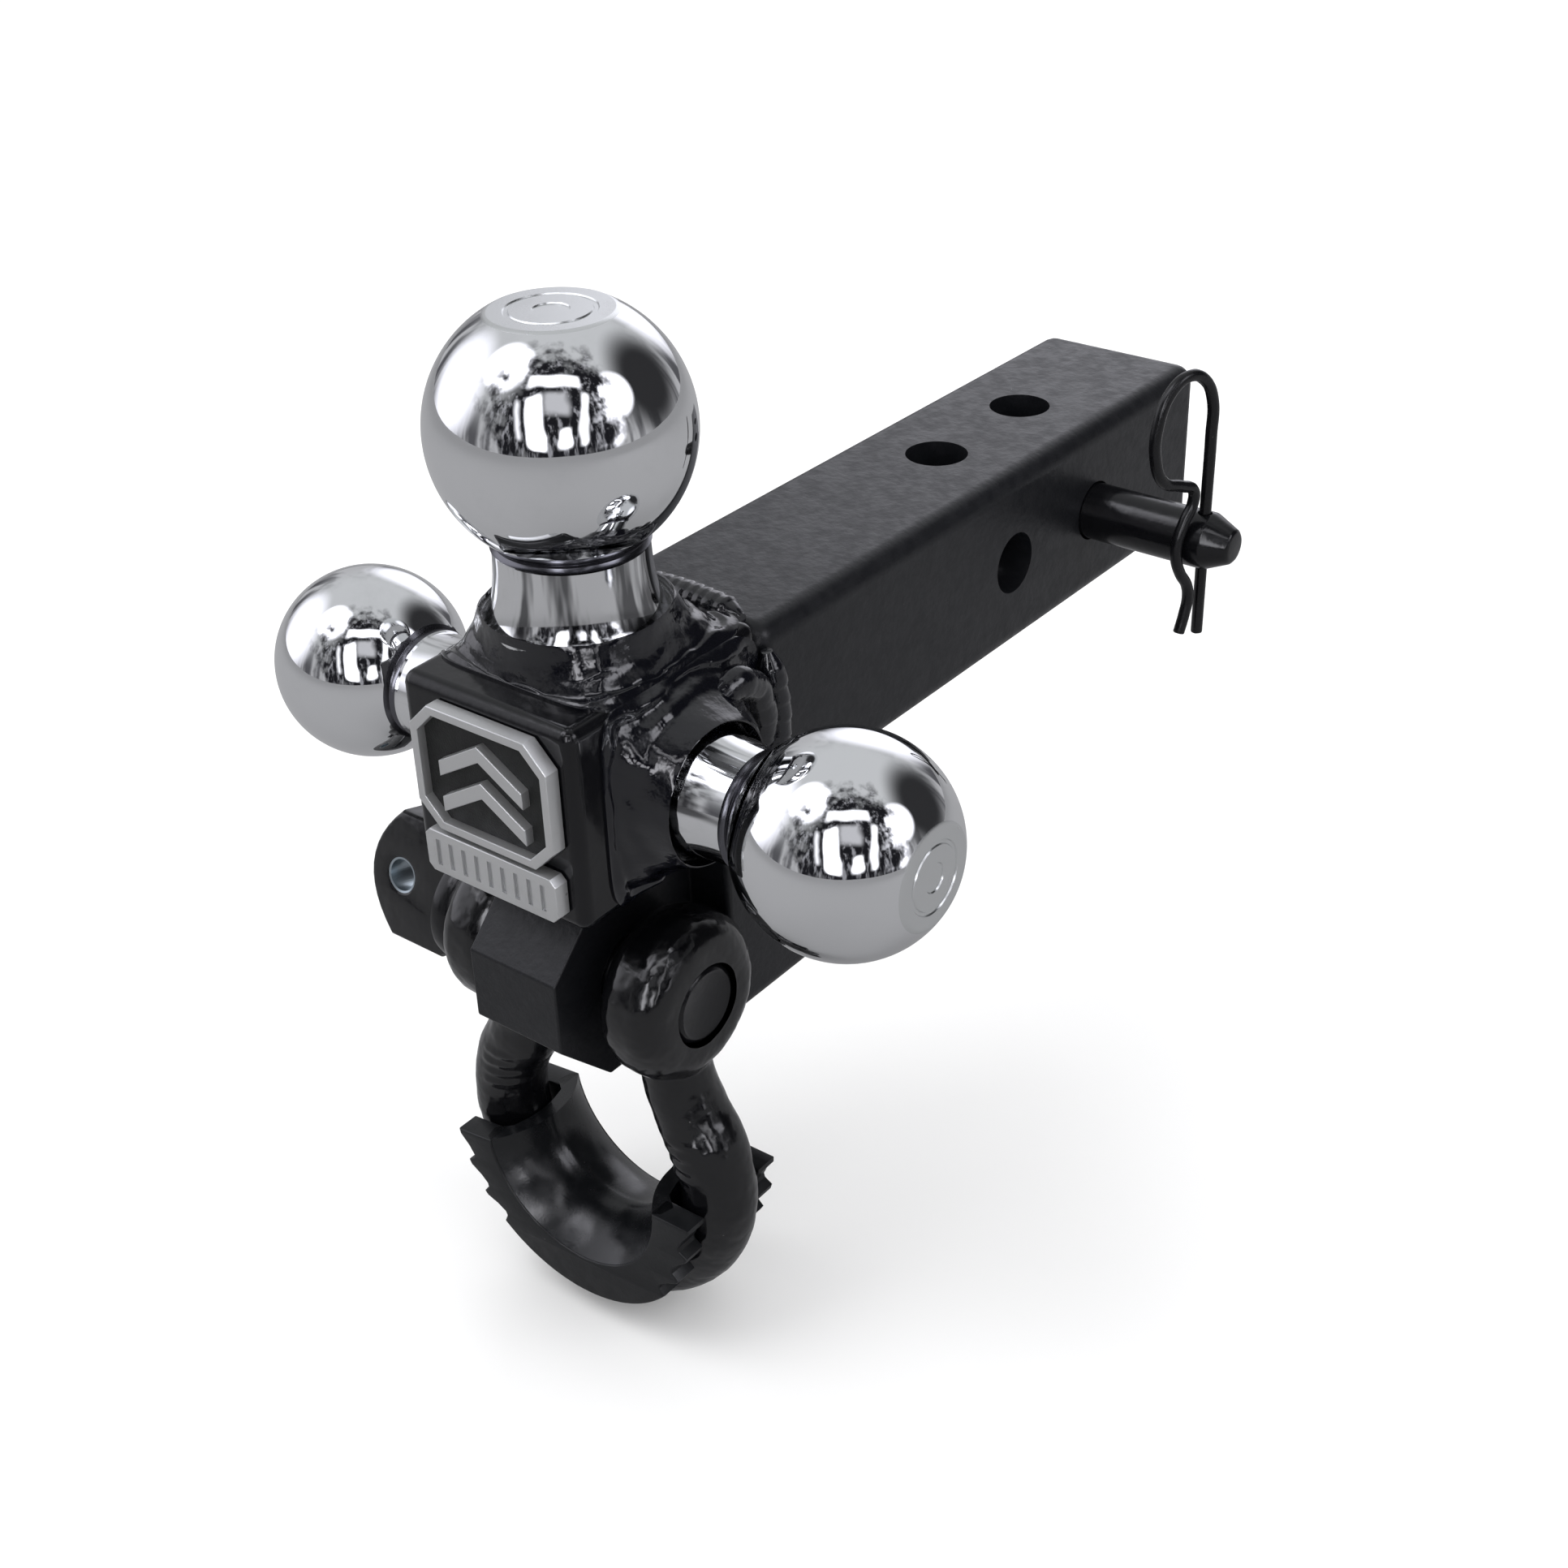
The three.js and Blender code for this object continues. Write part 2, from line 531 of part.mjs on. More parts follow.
// The hitch pin: a bent pull handle on -X, a plain shaft, and a tapered end with a cross hole for the clip.
function hitchPin() {
  const handleX = -HANDLE_X;
  const shaft = turned([
    [0, handleX], [HITCH_PIN_RADIUS, handleX], [HITCH_PIN_RADIUS, HITCH_PIN_TIP - 7],
    [HITCH_PIN_RADIUS - 3.4, HITCH_PIN_TIP], [0, HITCH_PIN_TIP],
  ], 20, RIGHT, [0, HOLE_REAR_Y, 0]);
  const bend = [];
  for (let step = 0; step <= 6; step += 1) {
    const turn = (step / 6) * (Math.PI / 2);
    bend.push([handleX - HANDLE_BEND * Math.sin(turn), HOLE_REAR_Y, -HANDLE_BEND * (1 - Math.cos(turn))]);
  }
  const path = [[handleX + 4, HOLE_REAR_Y, 0], ...bend,
    [handleX - HANDLE_BEND, HOLE_REAR_Y, -HANDLE_BEND - 10], [handleX - HANDLE_BEND, HOLE_REAR_Y, -HANDLE_DROP]];
  const handle = wire(path, HITCH_PIN_RADIUS, 20, 14);
  return shaft.add(handle).subtract(rod(CLIP_WIRE + GAP, -20, 20, UP, [CLIP_X, HOLE_REAR_Y, 0], 12));
}

// The R-shaped spring clip: one straight leg down through the pin, one wavy leg round its front.
function clip() {
  const points = [[0, -28], [0, -10], [0, 12], [0, 30], [0.4, 40], [4, 46.5], [10, 49], [16.5, 46], [20.4, 38],
    [20.6, 29], [17, 21.5], [10, 18.4], [5.4, 16], [5.2, 12.2], [8.2, 7.2], [10.3, 2], [10.3, -2.4],
    [8.4, -7.4], [5.4, -12], [4.6, -16], [5.6, -21], [7.2, -26]];
  const reach = points.map(([out, z]) => [
    CLIP_X - out * Math.sin(CLIP_TURN), HOLE_REAR_Y - out * Math.cos(CLIP_TURN), z]);
  return wire(reach, CLIP_WIRE, 8, 72);
}

add("shank", shank(), POWDER);
add("block", block(), GLOSS);
for (const spec of BALLS) {
  add(`ball_${spec.name}`, ball(spec), CHROME);
  add(`weld_ball_${spec.name}`, ballWeld(spec), GLOSS);
}
for (const side of ["top", "right", "left"]) {
  add(`weld_shank_${side}`, shankWeld(side), GLOSS);
}
add("lug_bar", lugBar(), POWDER);
add("weld_lug_right", lugWeld("right"), GLOSS);
add("weld_lug_left", lugWeld("left"), GLOSS);
add("weld_lug_rear", lugWeldRear(), GLOSS);
add("badge_plate", badgePlate(), SILVER);
add("badge_field", badgeField(), ENAMEL);
add("badge_bar", badgeBar(), SILVER);
add("shackle_bow", shackleBow(), GLOSS);
add("shackle_pin", shacklePin(), GLOSS);
add("isolator", isolator(), RUBBER);
add("hitch_pin", hitchPin(), GLOSS);
add("hitch_clip", clip(), GLOSS);

export default hitch;
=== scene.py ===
"""Three-ball trailer hitch with a bow shackle, its isolator, and a hitch pin with its clip."""

import math

import bpy
from mathutils import Matrix, Vector, noise


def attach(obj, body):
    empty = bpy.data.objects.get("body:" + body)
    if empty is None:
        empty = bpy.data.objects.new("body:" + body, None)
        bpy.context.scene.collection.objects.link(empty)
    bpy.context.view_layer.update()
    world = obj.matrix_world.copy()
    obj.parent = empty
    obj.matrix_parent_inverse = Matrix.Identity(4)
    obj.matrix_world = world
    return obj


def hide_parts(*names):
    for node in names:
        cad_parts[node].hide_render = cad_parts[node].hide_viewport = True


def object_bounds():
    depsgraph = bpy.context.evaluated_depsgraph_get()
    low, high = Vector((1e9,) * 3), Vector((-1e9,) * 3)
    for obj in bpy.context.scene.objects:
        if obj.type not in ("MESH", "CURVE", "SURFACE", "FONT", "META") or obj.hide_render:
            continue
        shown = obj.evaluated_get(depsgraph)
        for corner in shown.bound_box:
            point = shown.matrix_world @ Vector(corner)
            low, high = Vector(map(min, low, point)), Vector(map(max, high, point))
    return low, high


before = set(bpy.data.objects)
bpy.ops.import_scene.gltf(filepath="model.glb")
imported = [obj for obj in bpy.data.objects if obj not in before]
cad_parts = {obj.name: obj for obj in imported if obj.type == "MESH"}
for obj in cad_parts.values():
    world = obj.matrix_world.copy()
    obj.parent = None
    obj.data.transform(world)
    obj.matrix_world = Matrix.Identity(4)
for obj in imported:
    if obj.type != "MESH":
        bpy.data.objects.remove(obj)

cad_low, cad_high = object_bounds()

MM = 0.001
TURN = 2 * math.pi

# Places and sizes shared with the CAD part, in millimetres. The shank's rear face is at Y = 0.
FRONT = -269.9  # the block's front face
BLOCK_HALF = 25.5
BLOCK_BACK = -206.4
BLOCK_Z = 3.1
BLOCK_EDGE = 3.2
BAR_HALF = 25.4
BAR_EDGE = 5.4
HOLE_Y = -56.4  # the rear pair of cross holes
HOLE_PITCH = 41.0
HOLE_RADIUS = 8.4
BALL_Y = -238.15
BALL_CLEARANCE = 22.5  # from the block's face to the ball
PIN_Y = -243.9
PIN_Z = -52.1
SHACKLE_X = 1.8
BOW_CENTRE_Z = PIN_Z - 56.5
BOW_RADIUS = 35.0
BOW_BAR = 19.0
JAW = 32.0  # between the shackle's ears
JAW_DEPTH = 28.5  # from the screw pin down
EAR_X = (JAW + BOW_BAR) / 2

# Turns that lay a piece made along Z, or flat in XY, into its place.
AXES = {
    "up": (0.0, 0.0, 0.0),
    "right": (0.0, math.pi / 2, 0.0),
    "left": (0.0, -math.pi / 2, 0.0),
    "upright": (math.pi / 2, 0.0, 0.0),
}


# ---------------------------------------------------------------- modelling by hand


def deselect():
    bpy.ops.object.select_all(action="DESELECT")


def take(obj):
    """Makes obj the only selected and the active object."""
    deselect()
    obj.select_set(True)
    bpy.context.view_layer.objects.active = obj


def settle(obj, name, turn="up", place=(0.0, 0.0, 0.0)):
    """Turns and moves a piece into its place and leaves its object at the origin."""
    take(obj)
    obj.name = name
    obj.data.name = name
    obj.rotation_euler = AXES[turn] if isinstance(turn, str) else turn
    obj.location = [value * MM for value in place]
    bpy.ops.object.transform_apply(location=True, rotation=True, scale=True)
    return obj


def tidy(obj, merge=0.002):
    """Merges doubled points and points the faces outwards."""
    take(obj)
    bpy.ops.object.mode_set(mode="EDIT")
    bpy.ops.mesh.select_all(action="SELECT")
    bpy.ops.mesh.remove_doubles(threshold=merge * MM)
    bpy.ops.mesh.normals_make_consistent(inside=False)
    bpy.ops.object.mode_set(mode="OBJECT")
    return obj


def modifier(obj, kind, **settings):
    """Adds one modifier to obj and applies it."""
    take(obj)
    added = obj.modifiers.new(kind.lower(), kind)
    for key, value in settings.items():
        setattr(added, key, value)
    bpy.ops.object.modifier_apply(modifier=added.name)
    return obj


def smooth(obj, degrees=35.0):
    take(obj)
    bpy.ops.object.shade_smooth_by_angle(angle=math.radians(degrees))
    return obj


def flat_faces(obj, degrees=35.0):
    """Smooth shading that keeps the large faces looking flat next to their rounded edges."""
    smooth(obj, degrees)
    return modifier(obj, "WEIGHTED_NORMAL", keep_sharp=True, weight=80)


def round_edges(obj, width, segments=3, degrees=40.0):
    return modifier(
        obj, "BEVEL", width=width * MM, segments=segments, limit_method="ANGLE",
        angle_limit=math.radians(degrees), harden_normals=False, use_clamp_overlap=True,
    )


def cut(obj, cutter, solver="EXACT"):
    """Takes cutter's shape out of obj, and deletes cutter."""
    modifier(obj, "BOOLEAN", operation="DIFFERENCE", solver=solver, object=cutter)
    bpy.data.objects.remove(cutter)
    return obj


def join(obj, others):
    take(obj)
    for other in others:
        other.select_set(True)
    bpy.ops.object.join()
    return obj


def cuboid(low, high, name="cuboid"):
    """A cube primitive at its size and place, given by two opposite corners."""
    deselect()
    bpy.ops.mesh.primitive_cube_add(size=1.0)
    obj = bpy.context.object
    obj.scale = [(b - a) * MM for a, b in zip(low, high)]
    return settle(obj, name, place=[(a + b) / 2 for a, b in zip(low, high)])


def lathe(name, profile, turn="up", place=(0.0, 0.0, 0.0), steps=96, sweep=TURN):
    """Extrudes one point along a [radius, height] profile and spins it round the axis."""
    deselect()
    bpy.ops.mesh.primitive_plane_add(size=MM)
    obj = bpy.context.object
    bpy.ops.object.mode_set(mode="EDIT")
    bpy.ops.mesh.select_all(action="SELECT")
    bpy.ops.mesh.merge(type="CENTER")
    radius, height = profile[0]
    bpy.ops.transform.translate(value=(radius * MM, 0.0, height * MM))
    for next_radius, next_height in profile[1:]:
        step = ((next_radius - radius) * MM, 0.0, (next_height - height) * MM)
        bpy.ops.mesh.extrude_region_move(TRANSFORM_OT_translate={"value": step})
        radius, height = next_radius, next_height
    bpy.ops.mesh.select_all(action="SELECT")
    bpy.ops.mesh.spin(steps=steps, angle=sweep, center=(0, 0, 0), axis=(0, 0, 1))
    bpy.ops.object.mode_set(mode="OBJECT")
    tidy(obj)
    return settle(obj, name, turn, place)


def rod(name, radius, low, high, turn, place, steps=48):
    return lathe(name, [(0, low), (radius, low), (radius, high), (0, high)], turn, place, steps)


def bar_along(name, points, radius, sides, fine, radii=None):
    """A round bar along a smooth line through the points, with closed ends."""
    deselect()
    bpy.ops.curve.primitive_bezier_curve_add()
    obj = bpy.context.object
    line = obj.data
    line.splines.clear()
    spline = line.splines.new("BEZIER")
    spline.bezier_points.add(len(points) - 1)
    for index, (point, at) in enumerate(zip(spline.bezier_points, points)):
        point.co = [value * MM for value in at]
        point.handle_left_type = point.handle_right_type = "AUTO"
        point.radius = 1.0 if radii is None else radii[index]
    line.dimensions = "3D"
    line.resolution_u = fine
    line.bevel_depth = radius * MM
    line.bevel_resolution = sides
    line.use_fill_caps = True
    take(obj)
    bpy.ops.object.convert(target="MESH")
    obj = bpy.context.object
    obj.location = (0, 0, 0)
    obj.name = name
    return tidy(obj)


def plate(name, outlines, thickness, edge, turn, place):
    """A flat plate from closed outlines, the later ones being holes, with rounded rims."""
    deselect()
    bpy.ops.curve.primitive_bezier_curve_add()
    obj = bpy.context.object
    obj.location = (0, 0, 0)
    line = obj.data
    line.splines.clear()
    line.dimensions = "2D"
    for outline in outlines:
        spline = line.splines.new("POLY")
        spline.points.add(len(outline) - 1)
        for point, (x, y) in zip(spline.points, outline):
            point.co = (x * MM, y * MM, 0.0, 1.0)
        spline.use_cyclic_u = True
    line.fill_mode = "BOTH"
    line.extrude = (thickness / 2 - edge) * MM
    line.bevel_depth = edge * MM
    line.bevel_resolution = 2
    line.offset = -edge * MM
    take(obj)
    bpy.ops.object.convert(target="MESH")
    obj = tidy(bpy.context.object)
    return smooth(settle(obj, name, turn, place), 30)


CAD_MERGE = 0.01
SAME_PLANE = 0.5  # degrees


def copy_node(name, new_name):
    """An own copy of a CAD node's mesh, with its loose triangles merged into flat faces."""
    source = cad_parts[name]
    obj = bpy.data.objects.new(new_name, source.data.copy())
    bpy.context.scene.collection.objects.link(obj)
    obj.matrix_world = Matrix.Identity(4)
    tidy(obj, CAD_MERGE)
    bpy.ops.object.mode_set(mode="EDIT")
    bpy.ops.mesh.select_all(action="SELECT")
    bpy.ops.mesh.dissolve_limited(angle_limit=math.radians(SAME_PLANE))
    bpy.ops.object.mode_set(mode="OBJECT")
    return obj


# ---------------------------------------------------------------- materials


def noise_node(tree, where, scale, detail=3.0, rough=0.55):
    node = tree.nodes.new("ShaderNodeTexNoise")
    node.inputs["Scale"].default_value = scale
    node.inputs["Detail"].default_value = detail
    node.inputs["Roughness"].default_value = rough
    tree.links.new(where, node.inputs["Vector"])
    return node


def ramp(tree, value, low, high, from_value=0.0, to_value=1.0):
    """Eases from one value to the other while the input goes from low to high."""
    node = tree.nodes.new("ShaderNodeMapRange")
    node.interpolation_type = "SMOOTHSTEP"
    node.inputs["From Min"].default_value = low
    node.inputs["From Max"].default_value = high
    node.inputs["To Min"].default_value = from_value
    node.inputs["To Max"].default_value = to_value
    tree.links.new(value, node.inputs["Value"])
    return node.outputs["Result"]


def maths(tree, kind, a, b=None):
    node = tree.nodes.new("ShaderNodeMath")
    node.operation = kind
    for index, value in enumerate((a, b)):
        if value is None:
            continue
        if isinstance(value, (int, float)):
            node.inputs[index].default_value = value
        else:
            tree.links.new(value, node.inputs[index])
    return node.outputs[0]


def mixed(tree, factor, a, b):
    """Colour a where the factor is 0 and colour b where it is 1."""
    node = tree.nodes.new("ShaderNodeMix")
    node.data_type = "RGBA"
    for socket, value in ((node.inputs[0], factor), (node.inputs[6], a), (node.inputs[7], b)):
        if isinstance(value, (int, float, tuple)):
            socket.default_value = value
        else:
            tree.links.new(value, socket)
    return node.outputs[2]


def scaled(tree, where, scale):
    node = tree.nodes.new("ShaderNodeMapping")
    node.inputs["Scale"].default_value = scale
    tree.links.new(where, node.inputs["Vector"])
    return node.outputs["Vector"]


def dots_node(tree, where, scale, near, far, channel):
    """Round dots in the few cells of the surface whose channel is high."""
    cells = tree.nodes.new("ShaderNodeTexVoronoi")
    cells.inputs["Scale"].default_value = scale
    tree.links.new(where, cells.inputs["Vector"])
    split = tree.nodes.new("ShaderNodeSeparateColor")
    tree.links.new(cells.outputs["Color"], split.inputs["Color"])
    spot = ramp(tree, cells.outputs["Distance"], near, far, 1.0, 0.0)
    return maths(tree, "MULTIPLY", spot, ramp(tree, split.outputs[channel], 0.86, 0.9))


def new_skin(name, inputs):
    """An empty node group with these inputs, which puts out a colour, a roughness and a height."""
    tree = bpy.data.node_groups.new(name, "ShaderNodeTree")
    for label, value in inputs.items():
        kind = "NodeSocketColor" if isinstance(value, tuple) else "NodeSocketFloat"
        tree.interface.new_socket(name=label, in_out="INPUT", socket_type=kind).default_value = value
    tree.interface.new_socket(name="Colour", in_out="OUTPUT", socket_type="NodeSocketColor")
    tree.interface.new_socket(name="Roughness", in_out="OUTPUT", socket_type="NodeSocketFloat")
    tree.interface.new_socket(name="Height", in_out="OUTPUT", socket_type="NodeSocketFloat")
    where = tree.nodes.new("ShaderNodeTexCoord").outputs["Object"]
    return tree, tree.nodes.new("NodeGroupInput"), tree.nodes.new("NodeGroupOutput"), where


FLECK = (0.3, 0.3, 0.29, 1)


def paint_group():
    """Paint: its colour with cloudy shading and dust flecks, its roughness and its orange peel."""
    tree, into, out, where = new_skin("paint_skin", {
        "Paint": (0.01, 0.01, 0.012, 1), "Dust": (0.12, 0.12, 0.12, 1), "Roughness": 0.3,
        "Peel Size": 700.0, "Fleck Amount": 0.5,
    })
    clouds = noise_node(tree, where, 45.0, 4.0).outputs["Fac"]
    specks = dots_node(tree, where, 230.0, 0.025, 0.06, "Red")
    flecks = maths(tree, "MULTIPLY", specks, into.outputs["Fleck Amount"])
    cloud = ramp(tree, clouds, 0.35, 0.7, 0.0, 0.22)
    haze = mixed(tree, cloud, into.outputs["Paint"], into.outputs["Dust"])
    dusty = mixed(tree, maths(tree, "MULTIPLY", cloud, 0.15), into.outputs["Paint"], haze)
    tree.links.new(mixed(tree, flecks, dusty, FLECK), out.inputs["Colour"])
    grain = noise_node(tree, where, 260.0, 2.0).outputs["Fac"]
    swing = ramp(tree, grain, 0.3, 0.7, -0.05, 0.06)
    tree.links.new(maths(tree, "ADD", into.outputs["Roughness"], swing), out.inputs["Roughness"])
    peel = noise_node(tree, where, 700.0, 2.0)
    tree.links.new(into.outputs["Peel Size"], peel.inputs["Scale"])
    lumps = maths(tree, "ADD", peel.outputs["Fac"], maths(tree, "MULTIPLY", flecks, 0.5))
    tree.links.new(lumps, out.inputs["Height"])
    return tree


def metal_group():
    """Bare or plated metal: faint stains, pits, hairlines and a varying polish."""
    tree, into, out, where = new_skin("metal_skin", {
        "Metal": (0.8, 0.8, 0.8, 1), "Stain": (0.4, 0.4, 0.4, 1), "Roughness": 0.1,
        "Grain Size": 900.0, "Stain Amount": 0.2,
    })
    clouds = noise_node(tree, where, 60.0, 5.0, 0.65).outputs["Fac"]
    stains = maths(tree, "MULTIPLY", ramp(tree, clouds, 0.5, 0.78), into.outputs["Stain Amount"])
    pits = dots_node(tree, where, 170.0, 0.04, 0.09, "Green")
    marks = maths(tree, "MAXIMUM", stains, maths(tree, "MULTIPLY", pits, 0.8))
    colour = mixed(tree, marks, into.outputs["Metal"], into.outputs["Stain"])
    tree.links.new(colour, out.inputs["Colour"])
    rough = maths(tree, "ADD", into.outputs["Roughness"], maths(tree, "MULTIPLY", marks, 0.25))
    tree.links.new(rough, out.inputs["Roughness"])
    grain = noise_node(tree, where, 900.0, 3.0)
    tree.links.new(into.outputs["Grain Size"], grain.inputs["Scale"])
    tree.links.new(maths(tree, "SUBTRACT", grain.outputs["Fac"], pits), out.inputs["Height"])
    return tree


PAINT_SKIN = paint_group()
METAL_SKIN = metal_group()


def finish_of(name, group, bump, distance, shader, **values):
    """A material whose colour, roughness and bump come from one of the skins."""
    material = bpy.data.materials.new(name)
    material.use_nodes = True
    tree = material.node_tree
    body = tree.nodes["Principled BSDF"]
    skin = tree.nodes.new("ShaderNodeGroup")
    skin.node_tree = group
    for key, value in values.items():
        skin.inputs[key.replace("_", " ")].default_value = value
    tree.links.new(skin.outputs["Colour"], body.inputs["Base Color"])
    tree.links.new(skin.outputs["Roughness"], body.inputs["Roughness"])
    rise = tree.nodes.new("ShaderNodeBump")
    rise.inputs["Strength"].default_value = bump
    rise.inputs["Distance"].default_value = distance
    tree.links.new(skin.outputs["Height"], rise.inputs["Height"])
    tree.links.new(rise.outputs["Normal"], body.inputs["Normal"])
    for key, value in shader.items():
        body.inputs[key].default_value = value
    return material


def paint(name, colour, rough, peel, bump, flecks, coat=0.0, shine=0.3, depth=0.3):
    shader = {"Coat Weight": coat, "Coat Roughness": 0.05, "Specular IOR Level": shine}
    return finish_of(name, PAINT_SKIN, bump, depth * MM, shader, Paint=(*colour, 1), Roughness=rough,
                     Peel_Size=peel, Fleck_Amount=flecks)


def metal(name, colour, stain, rough, grain, bump, stains, metallic=1.0):
    return finish_of(name, METAL_SKIN, bump, 0.1 * MM, {"Metallic": metallic}, Metal=(*colour, 1),
                     Stain=(*stain, 1), Roughness=rough, Grain_Size=grain, Stain_Amount=stains)


POWDER = paint("satin_powder_coat", (0.0058, 0.0062, 0.0078), rough=0.36, peel=520, bump=0.3,
               flecks=0.45, shine=0.32)
GLOSS = paint("gloss_black_enamel", (0.0026, 0.0027, 0.0036), rough=0.15, peel=260, bump=0.25,
              flecks=0.25, coat=0.12)
WELD = paint("gloss_black_over_weld", (0.0024, 0.0026, 0.0045), rough=0.1, peel=330, bump=0.8,
             flecks=0.1, coat=0.35, shine=0.42)
FORGED = paint("gloss_black_over_forging", (0.0022, 0.0023, 0.003), rough=0.15, peel=150, bump=0.7,
               flecks=0.15, coat=0.25, shine=0.4, depth=0.6)
PIN_BLACK = paint("black_pin_coat", (0.003, 0.0031, 0.004), rough=0.2, peel=420, bump=0.22,
                  flecks=0.2, coat=0.12)
WIRE_BLACK = paint("black_wire_coat", (0.0032, 0.0032, 0.004), rough=0.25, peel=600, bump=0.15,
                   flecks=0.1, coat=0.1)
ISOLATOR = paint("moulded_black_rubber", (0.0055, 0.006, 0.007), rough=0.34, peel=1500, bump=0.1,
                 flecks=0.2, shine=0.34)
SADDLE = paint("polished_black_rubber", (0.0045, 0.005, 0.006), rough=0.22, peel=1500, bump=0.08,
               flecks=0.2, shine=0.4)
ENAMEL = paint("badge_black_grain", (0.006, 0.0065, 0.0062), rough=0.5, peel=2200, bump=0.35,
               flecks=0.0)
CHROME = metal("polished_chrome", (0.83, 0.84, 0.85), (0.42, 0.42, 0.42), rough=0.035, grain=300,
               bump=0.02, stains=0.12)
NECK = metal("turned_chrome_neck", (0.8, 0.81, 0.82), (0.16, 0.16, 0.17), rough=0.06, grain=300,
             bump=0.03, stains=0.1)
# Chrome in the groove under each ball: a duller, rougher finish, and its dark colour is painted shade in
# the recess.
PAINTED_GROOVE_SHADE = metal("dull_chrome_groove_with_painted_shade", (0.13, 0.13, 0.145), (0.05, 0.05, 0.06), rough=0.22, grain=900,
               bump=0.1, stains=0.5)
FLAT = metal("satin_chrome_flat", (0.72, 0.735, 0.735), (0.5, 0.5, 0.5), rough=0.26, grain=1600,
             bump=0.12, stains=0.2)
SILVER = metal("cast_silver", (0.56, 0.565, 0.57), (0.3, 0.3, 0.3), rough=0.38, grain=2600,
               bump=0.22, stains=0.2, metallic=0.85)
ZINC = metal("bare_zinc", (0.42, 0.48, 0.52), (0.2, 0.25, 0.3), rough=0.3, grain=1500, bump=0.2,
             stains=0.5)
# Colour of the dark streaks on the necks: a painted reflection.
REFLECTION_STREAK = (0.06, 0.06, 0.065, 1)


def with_painted_reflection_streaks(name, stretch):
    """The neck's chrome with long dark streaks along its axis, which are painted reflections of the
    room, where stretch is the small scale.
    """
    material = NECK.copy()
    material.name = name
    tree = material.node_tree
    body = tree.nodes["Principled BSDF"]
    plain = body.inputs["Base Color"].links[0].from_socket
    where = tree.nodes.new("ShaderNodeTexCoord").outputs["Object"]
    lines = noise_node(tree, scaled(tree, where, stretch), 1.0, 3.0, 0.6).outputs["Fac"]
    dark = ramp(tree, lines, 0.5, 0.62, 0.0, 0.85)
    tree.links.new(mixed(tree, dark, plain, REFLECTION_STREAK), body.inputs["Base Color"])
    return material


# The neck chrome with painted reflection streaks, stretched along an upright or a level axis.
NECK_UPRIGHT = with_painted_reflection_streaks("turned_chrome_neck_upright", (140.0, 140.0, 12.0))
NECK_LEVEL = with_painted_reflection_streaks("turned_chrome_neck_level", (12.0, 140.0, 140.0))


def wear(obj, material, body, slot_name, *nodes):
    """Gives a piece its finish and its body, and hides the CAD nodes it stands for; slot_name is not
    used.
    """
    obj.data.materials.clear()
    obj.data.materials.append(material)
    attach(obj, body)
    if nodes:
        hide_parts(*nodes)


# ---------------------------------------------------------------- shank, block and lower bar


def long_bar(name, low, high, edge, segments=6):
    """A square bar along Y whose four long edges are rounded in edit mode."""
    obj = cuboid(low, high, name)
    take(obj)
    bpy.ops.object.mode_set(mode="EDIT")
    bpy.ops.mesh.select_all(action="DESELECT")
    bpy.ops.object.mode_set(mode="OBJECT")
    for line in obj.data.edges:
        a, b = (obj.data.vertices[index].co for index in line.vertices)
        line.select = abs(a.y - b.y) > 0.5 * (high[1] - low[1]) * MM
    bpy.ops.object.mode_set(mode="EDIT")
    bpy.ops.mesh.select_mode(type="EDGE")
    bpy.ops.mesh.bevel(offset=edge * MM, segments=segments, affect="EDGES")
    bpy.ops.mesh.select_mode(type="VERT")
    bpy.ops.object.mode_set(mode="OBJECT")
    return obj


def make_shank():
    low = (-BAR_HALF, BLOCK_BACK + 0.3, -BAR_HALF)
    bar = long_bar("shank_bar", low, (BAR_HALF, 0, BAR_HALF), BAR_EDGE)
    for y in (HOLE_Y, HOLE_Y - HOLE_PITCH):
        for way in ("up", "right"):
            cut(bar, rod("drill", HOLE_RADIUS, -30, 30, way, (0, y, 0), 64))
    round_edges(bar, 0.45, 3, 35)
    flat_faces(bar)
    wear(bar, POWDER, "mount", "powder", "shank")


def make_block():
    low = (-BLOCK_HALF, FRONT, BLOCK_Z - BLOCK_HALF)
    high = (BLOCK_HALF, BLOCK_BACK, BLOCK_Z + BLOCK_HALF)
    body = long_bar("ball_block", low, high, BLOCK_EDGE)
    round_edges(body, 0.8, 3, 50)
    flat_faces(body)
    wear(body, GLOSS, "mount", "gloss_black", "block")


def make_lug():
    bar = copy_node("lug_bar", "lower_bar")
    round_edges(bar, 0.5, 3, 30)
    flat_faces(bar)
    wear(bar, POWDER, "mount", "powder", "lug_bar")


# ---------------------------------------------------------------- balls and necks

# Each ball's direction, the middle of its neck's foot on the block, and its sizes. The neck, seat
# and flat are radii, and weld is the height of the weld round the seat.
BALLS = {
    "top": dict(turn="up", foot=(0, BALL_Y, BLOCK_Z + BLOCK_HALF), diameter=58.7, neck=17.4,
                seat=21.4, flat=13.6, weld=12),
    "right": dict(turn="right", foot=(BLOCK_HALF, BALL_Y, BLOCK_Z), diameter=50.8, neck=13.8,
                  seat=16.8, flat=11.6, weld=14),
    "left": dict(turn="left", foot=(-BLOCK_HALF, BALL_Y, BLOCK_Z), diameter=47.6, neck=13.2,
                 seat=16.2, flat=10.8, weld=13),
}
SPIGOT = -4
WAIST_LOW = 9.0
GROOVE_HEIGHT = 3.4
# The groove under the ball as steps inwards and upwards from the waist.
GROOVE_STEPS = [(0.0, 0.5), (0.5, 0.8), (0.9, 1.4), (0.55, 2.1), (0.1, 2.5), (0.7, 2.9), (0.9, 3.3)]
RING_DEPTH = 0.3
RING_SLOPE = 0.25
OUTWARDS = {"up": (0, 0, 1), "right": (1, 0, 0), "left": (-1, 0, 0)}


